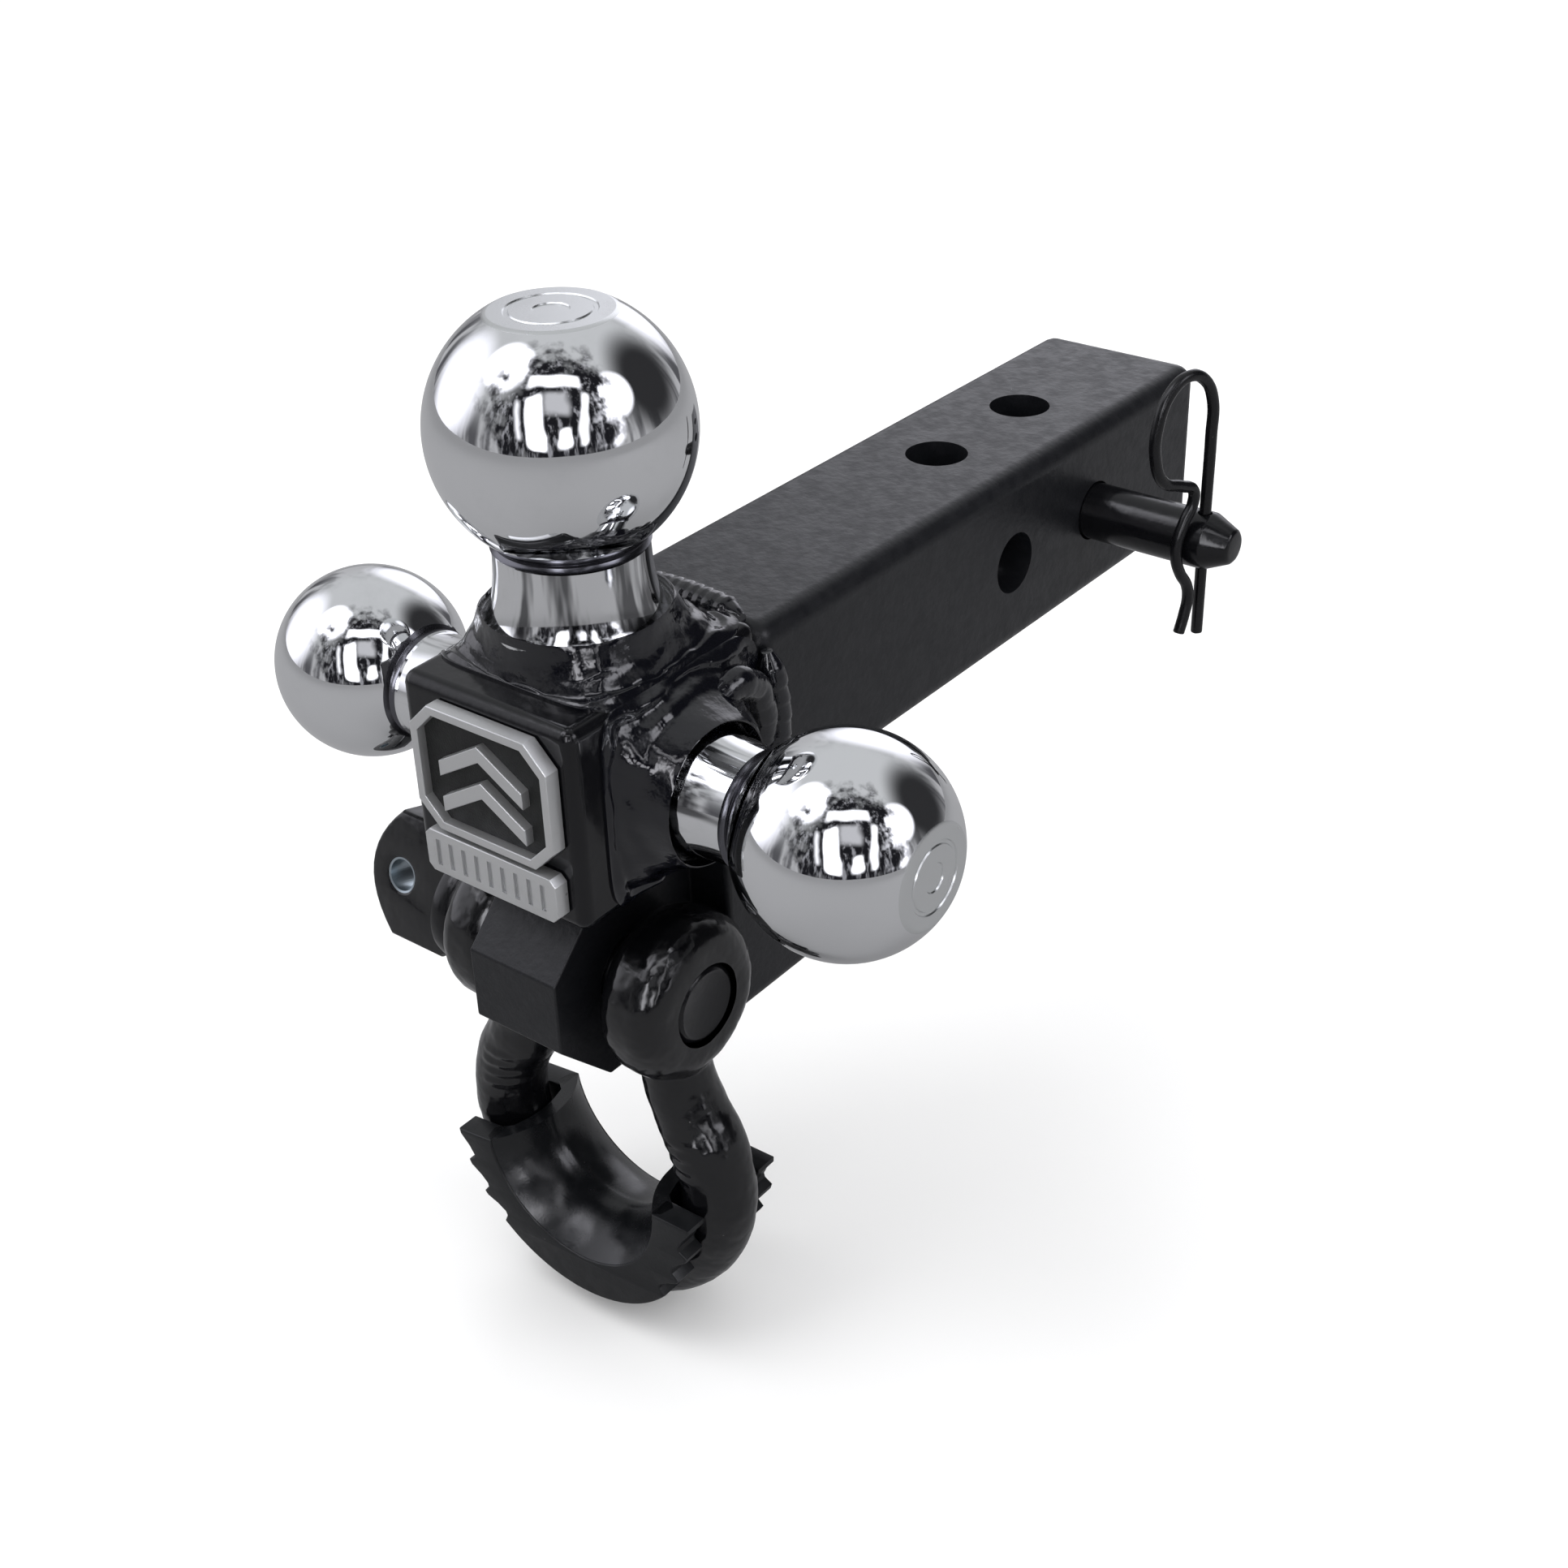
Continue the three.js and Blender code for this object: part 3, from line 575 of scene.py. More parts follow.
def ball_profile(ball, waist_high, centre):
    """The [radius, height] line of spigot, neck, groove, ball and flat, and the flat's height."""
    radius, neck, seat, flat = ball["diameter"] / 2, ball["neck"], ball["seat"], ball["flat"]
    profile = [(0, SPIGOT), (seat, SPIGOT), (seat, 2)]
    for step in range(13):
        bend = step / 12 * math.pi / 2
        profile.append((neck + (seat - neck) * (1 - math.sin(bend)),
                        WAIST_LOW + (waist_high - WAIST_LOW) * (1 - math.cos(bend))))
    profile += [(neck - inward + 0.35, waist_high + rise) for inward, rise in GROOVE_STEPS]
    start = math.asin((neck - 0.2) / radius)
    end = math.pi - math.asin(flat / radius)
    for step in range(61):
        angle = start + (end - start) * step / 60
        profile.append((radius * math.sin(angle), centre - radius * math.cos(angle)))
    top = centre - radius * math.cos(end)
    outer, inner, dot = flat * 0.74, flat * 0.66, flat * 0.3
    rings = [(flat - RING_SLOPE, 0.0), (outer, 0.0), (outer - RING_SLOPE, -RING_DEPTH),
             (inner, -RING_DEPTH), (inner - RING_SLOPE, 0.0), (dot, 0.0),
             (dot - RING_SLOPE, -RING_DEPTH), (0, -RING_DEPTH)]
    return profile + [(across, top + rise) for across, rise in rings], top


def make_ball(side):
    """A ball, its neck and its turned rings, with a finish of its own on neck, groove and flat; the
    groove's dark chrome is painted shade, and the neck's dark streaks are painted reflections.
    """
    ball = BALLS[side]
    radius = ball["diameter"] / 2
    centre = BALL_CLEARANCE + radius
    underside = centre - math.sqrt(radius**2 - (ball["neck"] + 1) ** 2)
    waist_high = underside - GROOVE_HEIGHT
    profile, top = ball_profile(ball, waist_high, centre)
    obj = lathe(f"hitch_ball_{side}", profile, ball["turn"], ball["foot"], 128)
    smooth(obj, 30)
    wear(obj, CHROME, "mount", "chrome", f"ball_{side}")
    for finish in (PAINTED_GROOVE_SHADE, FLAT, NECK_UPRIGHT if ball["turn"] == "up" else NECK_LEVEL):
        obj.data.materials.append(finish)
    axis = Vector(OUTWARDS[ball["turn"]])
    foot = Vector(ball["foot"]) * MM
    for face in obj.data.polygons:
        height = (face.center - foot).dot(axis) / MM
        # Faces in the groove under the ball take the dark chrome, which is painted shade in the recess.
        if waist_high + 0.3 < height < waist_high + GROOVE_HEIGHT:
            face.material_index = 1
        elif height > top - 0.4:
            face.material_index = 2
        elif height < waist_high + 0.4:
            face.material_index = 3


# ---------------------------------------------------------------- welds


WELD_FOOT = -1.2  # below the block's face
WELD_RINGS = 40
WELD_SPUN = 40.0  # the radius it is spun to, before it is pulled to the block's edges
STROKE = 0.55
ROUND_OFF = 10


def edge_reach(angle, half_x, low_y, high_y):
    """Distance from the neck's axis to a rounded rectangle in that direction."""
    across, along = math.cos(angle), math.sin(angle)
    half_y = high_y if along > 0 else -low_y
    return (abs(across / half_x) ** 7.0 + abs(along / half_y) ** 7.0) ** (-1 / 7.0)


def weld_height(share, height):
    """The weld over the block's face, from the neck (share 0) to its outer edge (share 1)."""
    collar = 1.0 - max(0.0, 1.0 - share / 0.05) ** 2
    slope = max(0.0, 1.0 - share) ** 2.3
    rim = 0.5 * math.exp(-((share - 0.08) / 0.05) ** 2)
    return 0.55 + (height - 0.6) * slope * (0.82 + 0.18 * collar) + rim


def weld_ripple(x, y, angle, share, seed_height):
    """How far the weld's strokes and lumps raise it, fading out at the neck and at the edge."""
    seed = Vector((x, y, seed_height))
    ripple = noise.noise(Vector((share * 5, angle * 4.5, seed_height))) * 0.3
    lumps = noise.noise(seed * 0.12) * 1.3 + noise.noise(seed * 0.3) * 0.45
    strokes = math.sin(share * 17 + 2.5 * noise.noise(seed * 0.1)) * 0.34
    fade = min(1.0, 7 * share) * min(1.0, 5 * (1.0 - share))
    return fade * (ripple + lumps + strokes)


def make_ball_weld(side):
    """The weld round a neck: spun as a ring, pulled out to the block's edges and rippled."""
    ball = BALLS[side]
    bore, height = ball["seat"] - 0.3, ball["weld"]
    profile = [(bore, WELD_FOOT)]
    for step in range(WELD_RINGS + 1):
        share = step / WELD_RINGS
        profile.append((bore + (WELD_SPUN - bore) * share, height * (1 - share) + 0.5))
    profile += [(WELD_SPUN, WELD_FOOT), (bore, WELD_FOOT)]
    obj = lathe(f"weld_round_{side}_neck", profile, "up", (0, 0, 0), 180)
    for vertex in obj.data.vertices:
        x, y, z = (value / MM for value in vertex.co)
        angle = math.atan2(y, x)
        share = (math.hypot(x, y) - bore) / (WELD_SPUN - bore)
        reach = edge_reach(angle, BLOCK_HALF - 0.2, -23.0, 31.0)
        radius = bore + (reach - bore) * share
        x, y = radius * math.cos(angle), radius * math.sin(angle)
        past_edge = max(0.0, abs(x) - (BLOCK_HALF - BLOCK_EDGE))
        drop = BLOCK_EDGE - math.sqrt(max(0.0, BLOCK_EDGE**2 - past_edge**2))
        rise = WELD_FOOT
        if z >= 0:
            rise = weld_height(share, height) + weld_ripple(x, y, angle, share, 7.0 * len(side))
        vertex.co = Vector((x, y, rise - drop)) * MM
    tidy(obj)
    settle(obj, obj.name, ball["turn"], ball["foot"])
    smooth(obj, 50)
    wear(obj, WELD, "mount", "weld", f"weld_ball_{side}")


def bead(name, points, radius, pitch, depth, *nodes):
    """A run of weld along a line: a fat bar with one ridge for each stroke of the torch."""
    dense = []
    for a, b in zip(points, points[1:]):
        start, stop = Vector(a), Vector(b)
        pieces = max(1, int((stop - start).length / STROKE))
        dense += [start.lerp(stop, step / pieces) for step in range(pieces)]
    dense.append(Vector(points[-1]))
    for _ in range(ROUND_OFF):
        eased = [(a + 2 * b + c) / 4 for a, b, c in zip(dense, dense[1:], dense[2:])]
        dense = [dense[0], *eased, dense[-1]]
    run = 0.0
    radii = []
    last = dense[0]
    ends = len(dense) - 1
    for index, point in enumerate(dense):
        run += (point - last).length
        last = point
        phase = (run / pitch) % 1.0
        swell = 1.0 - depth * (1 - phase) ** 2 + 0.12 * noise.noise(point * 0.21)
        taper = 0.35 + 0.65 * min(1.0, min(index, ends - index) / 8)
        radii.append(swell * taper)
    obj = bar_along(name, [tuple(point) for point in dense], radius, 5, 1, radii)
    smooth(obj, 60)
    wear(obj, WELD, "mount", "weld", *nodes)


def make_shank_welds():
    """The beads between block and shank, and a second run behind each side ball's neck."""
    back = BLOCK_BACK + 1.0
    side = BAR_HALF + 1.6
    over = [(-20, back, side), (0, back + 0.8, side + 0.4), (20, back, side)]
    bead("weld_over_shank", over, 4.4, 3.0, 0.08, "weld_shank_top")
    for name, way in (("right", 1), ("left", -1)):
        line = [(way * side, back, 21), (way * (side + 0.8), back + 1.5, 5), (way * side, back, -19)]
        bead(f"weld_{name}_of_shank", line, 4.0, 4.4, 0.06, f"weld_shank_{name}")
        arch = [(26.0, 35, 11), (28.6, 42, 18), (29.6, 50, 20.5), (29.2, 57, 16), (28.0, 61, 6),
                (25.0, 62, -4)]
        arch = [(way * x, FRONT + y, z) for x, y, z in arch]
        bead(f"weld_{name}_second_run", arch, 4.0, 5.2, 0.03)


def make_lug_welds():
    """The beads along both sides of the lower bar, and the one behind it."""
    for name, way in (("right", 1), ("left", -1)):
        along = [(14.6, 24, -24.6), (14.6, 46, -24.6), (22.6, 50, -25.2), (23.6, 80, -25.6),
                 (23.6, 104, -25.6)]
        along = [(way * x, FRONT + y, z) for x, y, z in along]
        bead(f"weld_{name}_of_lower_bar", along, 3.0, 2.0, 0.08, f"weld_lug_{name}")
    rear = FRONT + 109.6
    across = [(-19, rear, -27.4), (0, rear + 0.4, -27.6), (19, rear, -27.4)]
    bead("weld_behind_lower_bar", across, 4.0, 3.0, 0.08, "weld_lug_rear")


# ---------------------------------------------------------------- badge


BADGE_X = 1.5
BADGE_Z = 9.8
BADGE_BAR_Z = -12.8
CHEVRONS = (2.7, -6.5)
RIB_PITCH = 4
RIB_HALF = 0.7


def octagon(half_width, half_height, clip):
    """A rectangle with clipped corners."""
    return [
        (half_width, half_height - clip), (half_width - clip, half_height),
        (clip - half_width, half_height), (-half_width, half_height - clip),
        (-half_width, clip - half_height), (clip - half_width, -half_height),
        (half_width - clip, -half_height), (half_width, clip - half_height),
    ]


def chevron(foot):
    """A chevron whose arms start at this height."""
    width, rise, thickness = 12.5, 7.5, 4.0
    return [(0, rise + foot), (-width, foot), (-width, foot - thickness),
            (0, rise - thickness + foot), (width, foot - thickness), (width, foot)]


def make_badge():
    """A clipped frame with two chevrons on a black field, over a bar with plain ribs."""
    face = FRONT - 0.3
    outer = octagon(20.4, 15.7, 6.0)
    field = plate("badge_back", [outer], 1.6, 0.3, "upright", (BADGE_X, face - 0.8, BADGE_Z))
    wear(field, ENAMEL, "mount", "enamel", "badge_field")
    frame_lines = [octagon(20.5, 15.8, 6.0), octagon(18.3, 13.6, 5.1)]
    rim = plate("badge_rim", frame_lines, 4.0, 0.35, "upright", (BADGE_X, face - 2.0, BADGE_Z))
    place = (BADGE_X, face - 2.3, BADGE_Z)
    join(rim, [plate("badge_chevron", [chevron(z)], 3.4, 0.3, "upright", place) for z in CHEVRONS])
    wear(rim, SILVER, "mount", "silver", "badge_plate")
    place = (BADGE_X, face - 2.0, BADGE_BAR_Z)
    bar = plate("badge_bar_back", [octagon(20, 5.6, 1.6)], 4.0, 0.35, "upright", place)
    for rib in range(-4, 5):
        x = BADGE_X + rib * RIB_PITCH
        cut(bar, cuboid((x - RIB_HALF, face - 5, -16.2), (x + RIB_HALF, face - 3.3, -9.4)))
    smooth(bar, 30)
    wear(bar, SILVER, "mount", "silver", "badge_bar")


# ---------------------------------------------------------------- shackle, isolator and screw pin


EAR_FLAT = 13.5
EAR_ROUND = 7.5
BOW_VOXEL = 0.85
BOW_BORE = 10.6
PIN_SEAT = (SHACKLE_X, PIN_Y, PIN_Z)
BOW_CENTRE = (SHACKLE_X, PIN_Y, BOW_CENTRE_Z)


def bow_point(angle):
    return (SHACKLE_X + BOW_RADIUS * math.cos(angle), PIN_Y, BOW_CENTRE_Z + BOW_RADIUS * math.sin(angle))


def make_ear(way):
    """A round disc with a rounded rim, for one end of the bow."""
    half = BOW_BAR / 2
    profile = [(0, -half)]
    for step in range(9):
        bend = step / 8 * math.pi / 2
        profile.append((EAR_FLAT + EAR_ROUND * math.sin(bend),
                        EAR_ROUND - half - EAR_ROUND * math.cos(bend)))
    profile += [(across, -height) for across, height in reversed(profile[1:])]
    profile.append((0, half))
    return lathe("ear", profile, "right", (SHACKLE_X + way * EAR_X, PIN_Y, PIN_Z), 64)


def roughen_forging(bow):
    """Gives the bow its uneven forged skin, with four short ridges on the front of each leg."""
    outward = [vertex.normal.copy() for vertex in bow.data.vertices]
    for vertex, normal in zip(bow.data.vertices, outward):
        seed = vertex.co / MM
        push = 0.28 * noise.noise(seed * 0.13) + 0.1 * noise.noise(seed * 0.5)
        vertex.co += normal * push * MM
    ridges = [(SHACKLE_X + way * (EAR_X + 4.5), PIN_Y - 8.6, PIN_Z - 38 - 3.4 * row)
              for way in (-1, 1) for row in range(4)]
    for ridge in ridges:
        middle = Vector(ridge) * MM
        for vertex, normal in zip(bow.data.vertices, outward):
            off = (vertex.co - middle) / MM
            if abs(off.x) < 7 and abs(off.y) < 6 and abs(off.z) < 2.2:
                reach = (off.x / 5.0) ** 4 + (off.z / 0.95) ** 2
                vertex.co += normal * 0.5 * math.exp(-reach) * MM


def make_bow():
    """The shackle's bow: a bent bar and two ears grown into one forging, then bored and slotted."""
    leg = [(EAR_X - 1, -8), (EAR_X - 2, -20), (EAR_X + 1.8, -34)]
    left = [(SHACKLE_X - x, PIN_Y, PIN_Z + z) for x, z in reversed(leg)]
    right = [(SHACKLE_X + x, PIN_Y, PIN_Z + z) for x, z in leg]
    bend = [bow_point(math.radians(angle)) for angle in range(22, -203, -16)]
    thin = [1.0, 0.9, 0.98]
    shares = thin + [1.0] * len(bend) + thin[::-1]
    bow = bar_along("shackle_forging", right + bend + left, BOW_BAR / 2, 8, 8, shares)
    join(bow, [make_ear(way) for way in (-1, 1)])
    modifier(bow, "REMESH", mode="VOXEL", voxel_size=BOW_VOXEL * MM)
    modifier(bow, "SMOOTH", factor=0.5, iterations=6)
    roughen_forging(bow)
    slot = cuboid((SHACKLE_X - JAW / 2, PIN_Y - 30, PIN_Z - JAW_DEPTH),
                  (SHACKLE_X + JAW / 2, PIN_Y + 30, PIN_Z + 30))
    cut(bow, slot, "FAST")
    cut(bow, rod("drill", BOW_BORE, -60, 60, "right", PIN_SEAT, 64), "FAST")
    smooth(bow, 40)
    wear(bow, FORGED, "shackle", "forged", "shackle_bow")


PIN_SHAFT = 10.2
COLLAR = 15.5
COLLAR_LENGTH = 6
EYE_HOLE = 4.2
EYE_HALF = 17  # half the eye's width
EYE_TURN = math.radians(16)


def make_screw_pin():
    """The screw pin with its collar, its flat eye, and the plated lining of the eye's hole."""
    tip = JAW / 2 + BOW_BAR
    seat = -tip - 0.3
    head = seat - COLLAR_LENGTH
    pin = lathe("screw_pin_shaft", [
        (0, head), (14, head), (15.2, head + 0.5), (COLLAR, head + 1.5), (COLLAR, seat - 1.2),
        (15.1, seat - 0.3), (14.3, seat), (PIN_SHAFT, seat), (PIN_SHAFT, tip - 2), (9.6, tip - 1),
        (8.6, tip - 0.4), (7.6, tip - 0.9), (0, tip - 0.9),
    ], "right", PIN_SEAT, 72)
    smooth(pin, 35)
    outline = [(head + 2, -11), (head - 5, -EYE_HALF)]
    for step in range(13):
        share = step / 12
        outline.append((head - 23 - 36 * share * (1 - share), -EYE_HALF + 2 * EYE_HALF * share))
    outline += [(head - 5, EYE_HALF), (head + 2, 11)]
    middle = head - 21
    hole = [(middle + EYE_HOLE * math.cos(a / 24 * TURN), EYE_HOLE * math.sin(a / 24 * TURN))
            for a in range(24)]
    tilt = (math.pi / 2 - EYE_TURN, 0.0, 0.0)
    eye = plate("screw_pin_eye", [outline, hole], 9.0, 1.2, tilt, PIN_SEAT)
    ring = [(4.15, -4.2), (4.7, -4.35), (4.7, 4.35), (4.15, 4.2), (4.15, -4.2)]
    lining = lathe("eye_lining", ring, "up", (middle, 0, 0), 48)
    settle(lining, "screw_pin_eye_lining", tilt, PIN_SEAT)
    wear(pin, PIN_BLACK, "screw_pin", "gloss_black", "shackle_pin")
    wear(eye, FORGED, "screw_pin", "gloss_black")
    wear(lining, ZINC, "screw_pin", "gloss_black")


ISOLATOR_START = math.radians(183.0)
ISOLATOR_END = math.radians(357.0)
ISOLATOR_TURN = (math.pi / 2, -math.radians(4.5), 0.0)
FLANGE_OUTER = 39.0
FLANGE_INNER = 27.5
TOOTH = math.radians(14)
# One saw tooth, as shares of its arc and radii.
TOOTH_LINE = [(0.0, FLANGE_OUTER), (0.16, 38.9), (0.5, 36.9), (0.8, 36.1), (0.92, 36.6)]
# The saddle's underside, where it lies round the bow.
SADDLE_UNDER = [(29.5, 15.6), (30.5, 12.0), (26.6, 9.0), (25.3, 4.5), (24.9, 0.0), (25.3, -4.5),
                (26.6, -9.0), (30.5, -12.0), (29.5, -15.6)]


def flange_outline():
    """Half a ring with three saw teeth at each end of its outer edge."""
    teeth = [(ISOLATOR_START + count * TOOTH + share * TOOTH, reach)
             for count in range(3) for share, reach in TOOTH_LINE]
    plain = ISOLATOR_START + 3 * TOOTH
    lowest = 1.5 * math.pi
    middle = [(plain + 2 * (lowest - plain) * step / 40, FLANGE_OUTER) for step in range(41)]
    far_teeth = [(3 * math.pi - angle, reach) for angle, reach in reversed(teeth)]
    sweep = ISOLATOR_END - ISOLATOR_START
    inner = [(ISOLATOR_END - sweep * step / 64, FLANGE_INNER) for step in range(65)]
    return [(reach * math.cos(angle), reach * math.sin(angle))
            for angle, reach in teeth + middle + far_teeth + inner]


def make_saddle():
    """The rounded channel between the flanges, with a fine parting line, spun half way round."""
    profile = []
    for step in range(33):
        across = -1 + step / 16
        parting = 0.25 * math.exp(-((across / 0.03) ** 2))
        profile.append((20.5 + 7.1 * abs(across) ** 2.2 - parting, 16.6 * across))
    profile += SADDLE_UNDER + profile[:1]
    saddle = lathe("saddle", profile, "up", (0, 0, 0), 96, ISOLATOR_END - ISOLATOR_START)
    spun_up = sum(vertex.co.y for vertex in saddle.data.vertices) > 0
    start = ISOLATOR_START if spun_up else ISOLATOR_END
    saddle.data.transform(Matrix.Rotation(start, 4, "Z"))
    take(saddle)
    bpy.ops.object.mode_set(mode="EDIT")
    bpy.ops.mesh.select_all(action="SELECT")
    bpy.ops.mesh.fill_holes(sides=0)
    bpy.ops.mesh.normals_make_consistent(inside=False)
    bpy.ops.object.mode_set(mode="OBJECT")
    settle(saddle, "isolator_saddle", ISOLATOR_TURN, BOW_CENTRE)
    return smooth(saddle, 50)


def make_isolator():
    """Two flanges with saw-tooth edges, and the saddle between them."""
    flanges = []
    for name, y in (("front", -13.75), ("rear", 13.75)):
        place = (SHACKLE_X, PIN_Y + y, BOW_CENTRE_Z)
        flanges.append(plate(f"isolator_{name}_flange", [flange_outline()], 6.5, 0.5,
                             ISOLATOR_TURN, place))
    wear(make_saddle(), SADDLE, "shackle", "isolator", "isolator")
    for flange in flanges:
        wear(flange, ISOLATOR, "shackle", "isolator")


# ---------------------------------------------------------------- hitch pin and clip


HITCH_PIN = 7.9
CLIP_X = 59.5  # where the clip crosses the hitch pin
CLIP_LEAN = math.radians(15)
# The clip bent flat: the distance out from its straight leg, and the height.
CLIP_LINE = [
    (0, -28), (0, -10), (0, 12), (0, 30), (0.4, 40), (4, 46.5), (10, 49), (16.5, 46), (20.4, 38),
    (20.6, 29), (17, 21.5), (10, 18.4), (5.4, 16), (5.2, 12.2), (8.2, 7.2), (10.3, 2), (10.3, -2.4),
    (8.4, -7.4), (5.4, -12), (4.6, -16), (5.6, -21), (7.2, -26),
]


def make_hitch_pin():
    """The hitch pin: a turned shaft drilled for the clip, and its bent handle."""
    bend = [(-26, 0), (-34, 0), (-42.5, -3.5), (-46, -12), (-46, -22), (-46, -45.6)]
    path = [(x, HOLE_Y, z) for x, z in bend]
    handle = bar_along("hitch_pin_handle", path, HITCH_PIN, 8, 10)
    round_edges(handle, 1.0, 3, 60)
    smooth(handle, 40)
    shaft = lathe("hitch_pin_shaft", [
        (0, -30), (HITCH_PIN, -30), (HITCH_PIN, 61.4), (7.6, 62.2), (4.9, 68.2), (4.2, 68.8),
        (3.4, 69), (0, 69),
    ], "right", (0, HOLE_Y, 0), 64)
    cut(shaft, rod("drill", 2.0, -12, 12, "up", (CLIP_X, HOLE_Y, 0), 24))
    flat_faces(shaft, 35)
    wear(shaft, PIN_BLACK, "locking_pin", "pin_black", "hitch_pin")
    wear(handle, PIN_BLACK, "locking_pin", "pin_black")


def make_clip():
    """The spring clip, with its straight leg through the hitch pin."""
    points = [(CLIP_X - out * math.sin(CLIP_LEAN), HOLE_Y - out * math.cos(CLIP_LEAN), z)
              for out, z in CLIP_LINE]
    clip = bar_along("spring_clip", points, 1.6, 4, 8)
    round_edges(clip, 0.4, 2, 60)
    smooth(clip, 40)
    wear(clip, WIRE_BLACK, "locking_pin", "wire_black", "hitch_clip")


make_shank()
make_block()
make_lug()
for side_name in BALLS:
    make_ball(side_name)
    make_ball_weld(side_name)
make_shank_welds()
make_lug_welds()
make_badge()
make_bow()
make_screw_pin()
make_isolator()
make_hitch_pin()
make_clip()


# ---------------------------------------------------------------- floor, light and camera


FLOOR_SIZE = 14.0
FLOOR_DROP = 0.002
PALE = (0.93, 0.93, 0.935, 1)
PALE_IN_REFLECTIONS = (0.3, 0.3, 0.31, 1)
WHITE = (1.0, 1.0, 1.0, 1)
ROOM_FRONT = (0.52, -0.70, 0.48)
WALL_DARK, WALL_PALE = (0.1, 0.1, 0.11, 1), (0.5, 0.5, 0.52, 1)
CEILING = (0.62, 0.63, 0.65, 1)
GLOOM, GLOOM_PALE = (0.012, 0.012, 0.015, 1), (0.34, 0.34, 0.37, 1)
# Soft round patches of the room: direction, cosines where each starts and is full, brightness.
ROOM_PATCHES = [
    ((0.52, 0.64, 0.38), 0.78, 0.96, 0.03),
    ((-0.4, 0.88, 0.28), 0.9, 0.995, 1.5),
    ((-0.9, -0.35, 0.35), 0.82, 0.97, 1.5),
    ((1.0, -0.1, 0.25), 0.95, 0.98, 2.2),
    ((-0.36, -0.5, 0.93), 0.93, 0.985, 5.0),
    ((0.8, 0.15, 0.56), 0.94, 0.985, 4.0),
]
# Windows in the room's front wall: middle, half sizes, brightness.
ROOM_WINDOWS = [
    ((-0.04, 0.6), (0.4, 0.1), 3.2),
    ((-0.5, 0.0), (0.05, 0.38), 3.5),
    ((0.26, -0.06), (0.13, 0.38), 7.0),
    ((-0.08, 0.22), (0.16, 0.15), 0.6),
    ((0.56, -0.02), (0.03, 0.3), 1.6),
    ((-0.2, -0.3), (0.07, 0.12), 7.0),
]
WINDOW_BLUR = 0.06
WINDOW_SWAY = 0.03
# Each softbox's place, what it aims at, its width and height in metres, and its power in watts.
SOFTBOXES = {
    "key_softbox": ((-0.5, -0.9, 1.3), (0, -0.2, 0), 0.9, 0.9, 7),
    "side_softbox": ((1.3, 0.1, 0.9), (0, -0.15, 0), 0.7, 1.0, 5),
    "rear_softbox": ((-0.8, 0.9, 1.1), (0, -0.1, 0), 1.0, 0.7, 5),
}
CAMERA_AT = Vector((0.3074, -0.5496, 0.2550))
CAMERA_AZIMUTH = math.radians(38.80)
CAMERA_HEIGHT = math.radians(31.28)
CAMERA_ROLL = math.radians(-2.00)
FILM_WIDTH = 36.0
LENS_IN_WIDTHS = 1.397433


def make_floor():
    """A plain pale floor, greyer in reflections so that black gloss stays dark on it."""
    deselect()
    bpy.ops.mesh.primitive_plane_add(size=FLOOR_SIZE, location=(0, 0, cad_low[2] - FLOOR_DROP))
    floor = bpy.context.object
    floor.name = "pale_floor"
    bpy.ops.object.transform_apply(location=True, rotation=True, scale=True)
    material = bpy.data.materials.new("pale_floor_paint")
    material.use_nodes = True
    tree = material.node_tree
    body = tree.nodes["Principled BSDF"]
    glossy = tree.nodes.new("ShaderNodeLightPath").outputs["Is Glossy Ray"]
    tree.links.new(mixed(tree, glossy, PALE, PALE_IN_REFLECTIONS), body.inputs["Base Color"])
    body.inputs["Roughness"].default_value = 0.9
    body.inputs["Specular IOR Level"].default_value = 0.1
    floor.data.materials.append(material)


def softbox(name, place, aim, width, height, power):
    """A soft lamp that lights the object and stays out of its reflections."""
    deselect()
    bpy.ops.object.light_add(type="AREA", location=place)
    lamp = bpy.context.object
    lamp.name = name
    lamp.data.shape = "RECTANGLE"
    lamp.data.size = width
    lamp.data.size_y = height
    lamp.data.energy = power
    lamp.visible_glossy = False
    lamp.rotation_euler = (Vector(aim) - Vector(place)).to_track_quat("-Z", "Y").to_euler()


def toward(tree, where, direction):
    """The cosine between where a ray goes and this direction."""
    node = tree.nodes.new("ShaderNodeVectorMath")
    node.operation = "DOT_PRODUCT"
    node.inputs[1].default_value = direction
    tree.links.new(where, node.inputs[0])
    return node.outputs["Value"]


def window_share(tree, across, along, middle, half):
    """1 inside a soft-edged window of the room, given by its middle and half sizes."""
    inside = []
    for value, centre, reach in ((across, middle[0], half[0]), (along, middle[1], half[1])):
        off = maths(tree, "ABSOLUTE", maths(tree, "SUBTRACT", value, centre))
        inside.append(ramp(tree, off, reach - WINDOW_BLUR, reach + WINDOW_BLUR, 1.0, 0.0))
    return maths(tree, "MULTIPLY", inside[0], inside[1])


def swayed(tree, value, sway):
    return maths(tree, "ADD", value, ramp(tree, sway, 0.3, 0.7, -WINDOW_SWAY, WINDOW_SWAY))


def room_walls(tree, where):
    """Banded walls under a pale ceiling, with the room's dark and bright patches."""
    height = toward(tree, where, (0.0, 0.0, 1.0))
    bands = noise_node(tree, scaled(tree, where, (5.5, 5.5, 0.7)), 1.0, 2.0, 0.6).outputs["Fac"]
    wall = mixed(tree, ramp(tree, bands, 0.4, 0.6), WALL_DARK, WALL_PALE)
    room = mixed(tree, ramp(tree, height, 0.05, 0.75), wall, CEILING)
    for direction, start, full, level in ROOM_PATCHES:
        share = toward(tree, where, Vector(direction).normalized())
        room = mixed(tree, ramp(tree, share, start, full), room, (level, level, 1.08 * level, 1))
    return room


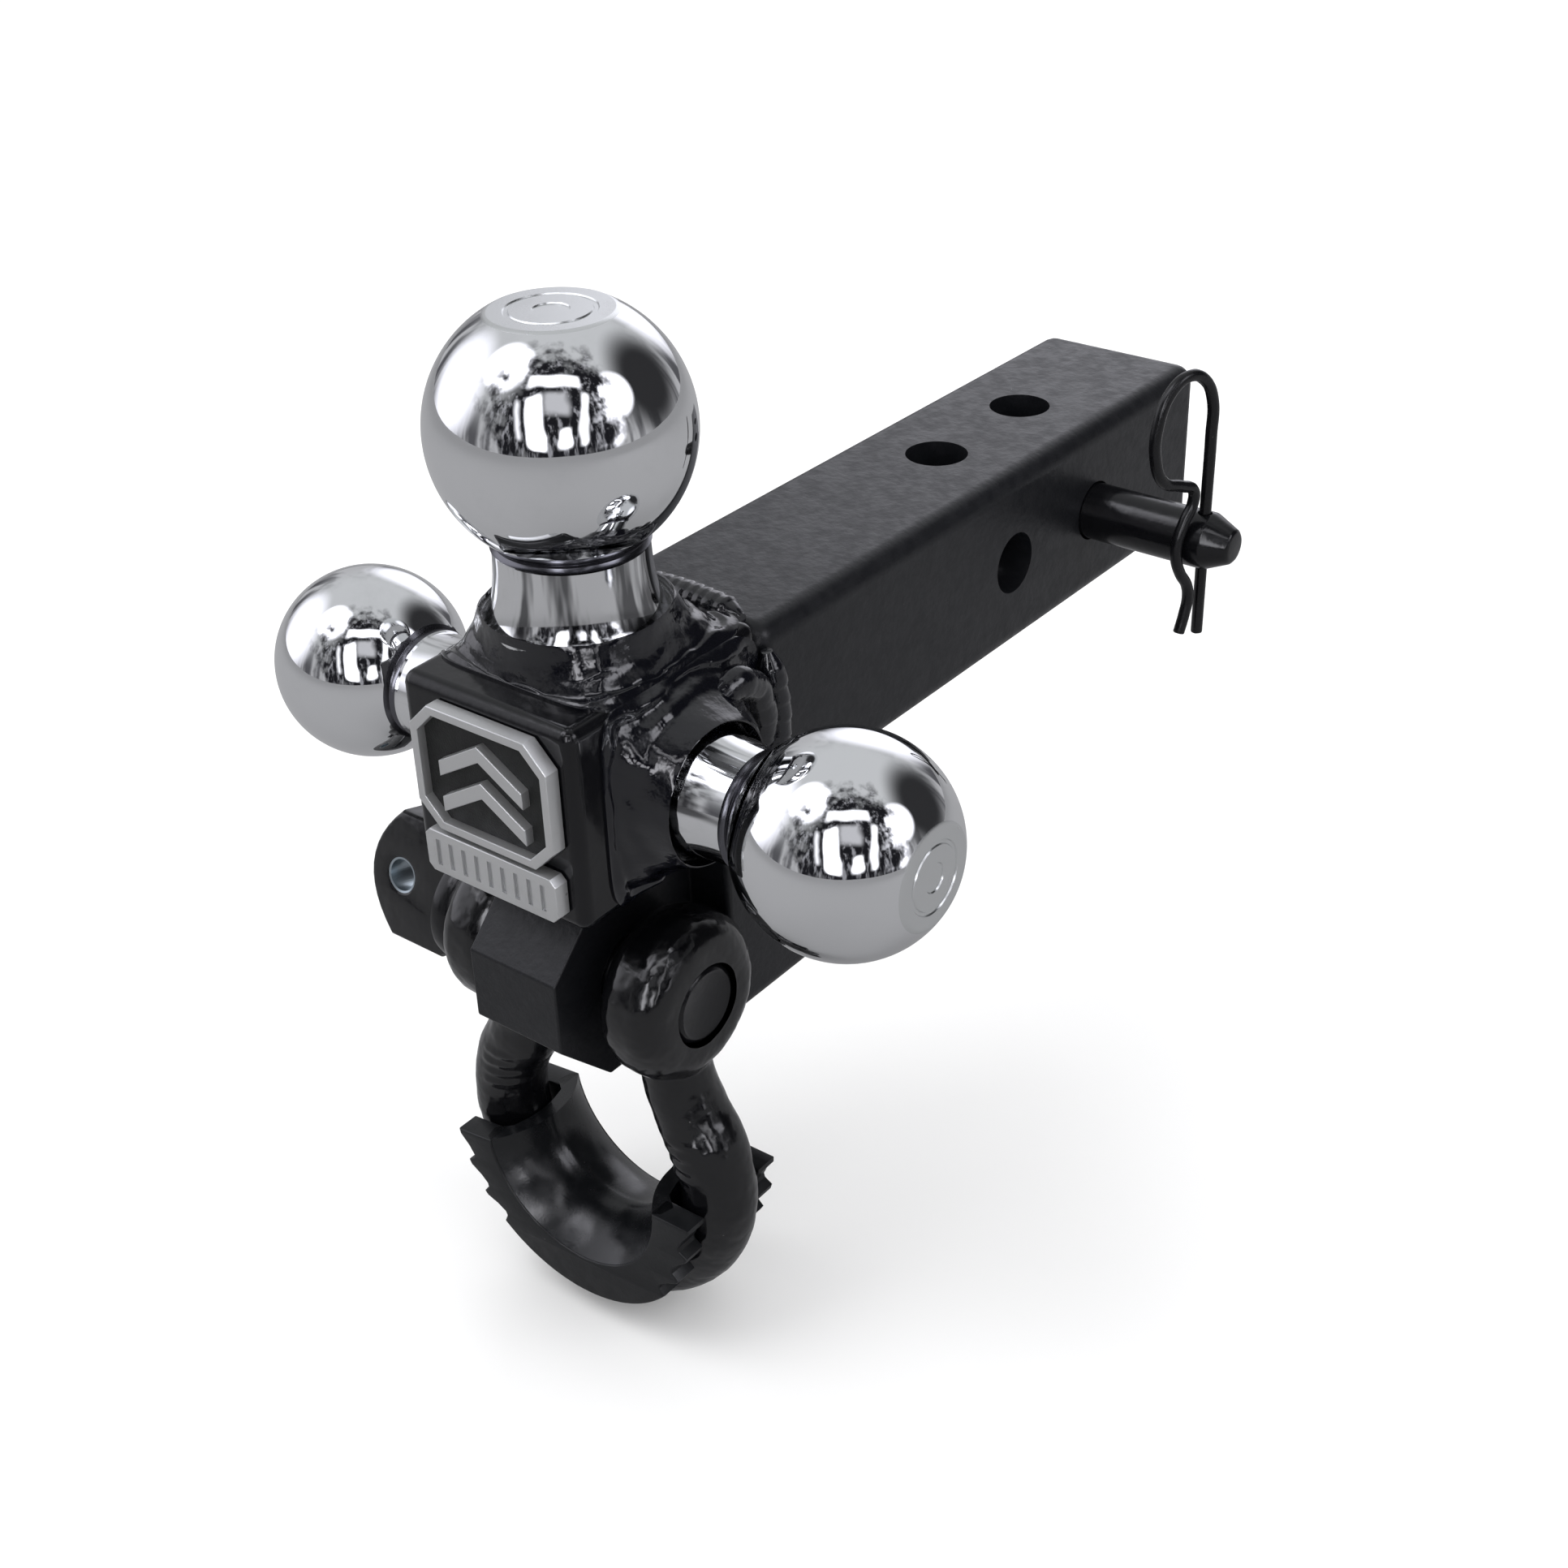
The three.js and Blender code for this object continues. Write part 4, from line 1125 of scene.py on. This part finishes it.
def room_front(tree, where, ahead, room):
    """The same room with the cluttered dark of its front wall laid over it."""
    wobble = noise_node(tree, where, 3.2, 3.0, 0.6).outputs["Fac"]
    blotch = ramp(tree, wobble, 0.35, 0.65, -0.42, 0.42)
    uneven = maths(tree, "ADD", ahead, maths(tree, "MULTIPLY", blotch, 0.35))
    clutter = noise_node(tree, scaled(tree, where, (15.0, 15.0, 3.0)), 1.0, 3.0, 0.6)
    gloom = mixed(tree, ramp(tree, clutter.outputs["Fac"], 0.5, 0.68), GLOOM, GLOOM_PALE)
    return mixed(tree, ramp(tree, uneven, 0.42, 0.78), room, gloom)


def make_world():
    """White behind the object; in reflections a grey room, dark in front, with bright windows."""
    world = bpy.data.worlds.new("studio")
    bpy.context.scene.world = world
    world.use_nodes = True
    tree = world.node_tree
    tree.nodes.clear()
    where = tree.nodes.new("ShaderNodeTexCoord").outputs["Generated"]
    front = Vector(ROOM_FRONT).normalized()
    side = front.cross(Vector((0, 0, 1))).normalized()
    ahead = toward(tree, where, front)
    depth = maths(tree, "MAXIMUM", ahead, 0.05)
    sway = tree.nodes.new("ShaderNodeSeparateColor")
    tree.links.new(noise_node(tree, where, 2.6, 1.0, 0.5).outputs["Color"], sway.inputs["Color"])
    across = maths(tree, "DIVIDE", toward(tree, where, side), depth)
    across = swayed(tree, across, sway.outputs["Red"])
    along = maths(tree, "DIVIDE", toward(tree, where, side.cross(front)), depth)
    along = swayed(tree, along, sway.outputs["Green"])
    colour = room_front(tree, where, ahead, room_walls(tree, where))
    in_front = ramp(tree, ahead, 0.05, 0.15)
    for middle, half, level in ROOM_WINDOWS:
        window = maths(tree, "MULTIPLY", window_share(tree, across, along, middle, half), in_front)
        colour = mixed(tree, window, colour, (level, level, 1.06 * level, 1))
    glossy = tree.nodes.new("ShaderNodeLightPath").outputs["Is Glossy Ray"]
    light = tree.nodes.new("ShaderNodeBackground")
    tree.links.new(mixed(tree, glossy, WHITE, colour), light.inputs["Color"])
    out = tree.nodes.new("ShaderNodeOutputWorld")
    tree.links.new(light.outputs[0], out.inputs["Surface"])


def make_camera():
    sideways = math.cos(CAMERA_HEIGHT)
    back = Vector((math.sin(CAMERA_AZIMUTH) * sideways, -math.cos(CAMERA_AZIMUTH) * sideways,
                   math.sin(CAMERA_HEIGHT)))
    level = (-back).cross(Vector((0, 0, 1))).normalized()
    above = level.cross(-back)
    right = level * math.cos(CAMERA_ROLL) + above * math.sin(CAMERA_ROLL)
    up = above * math.cos(CAMERA_ROLL) - level * math.sin(CAMERA_ROLL)
    lens = bpy.data.cameras.new("studio_camera")
    lens.sensor_width = FILM_WIDTH
    lens.lens = FILM_WIDTH * LENS_IN_WIDTHS
    lens.clip_start = 0.01
    lens.clip_end = 50.0
    camera = bpy.data.objects.new("studio_camera", lens)
    bpy.context.scene.collection.objects.link(camera)
    turn = Matrix((right, up, back)).transposed().to_4x4()
    camera.matrix_world = Matrix.Translation(CAMERA_AT) @ turn
    bpy.context.scene.camera = camera


bpy.context.scene.view_settings.view_transform = "Standard"
make_floor()
make_world()
for lamp_name, setting in SOFTBOXES.items():
    softbox(lamp_name, *setting)
make_camera()
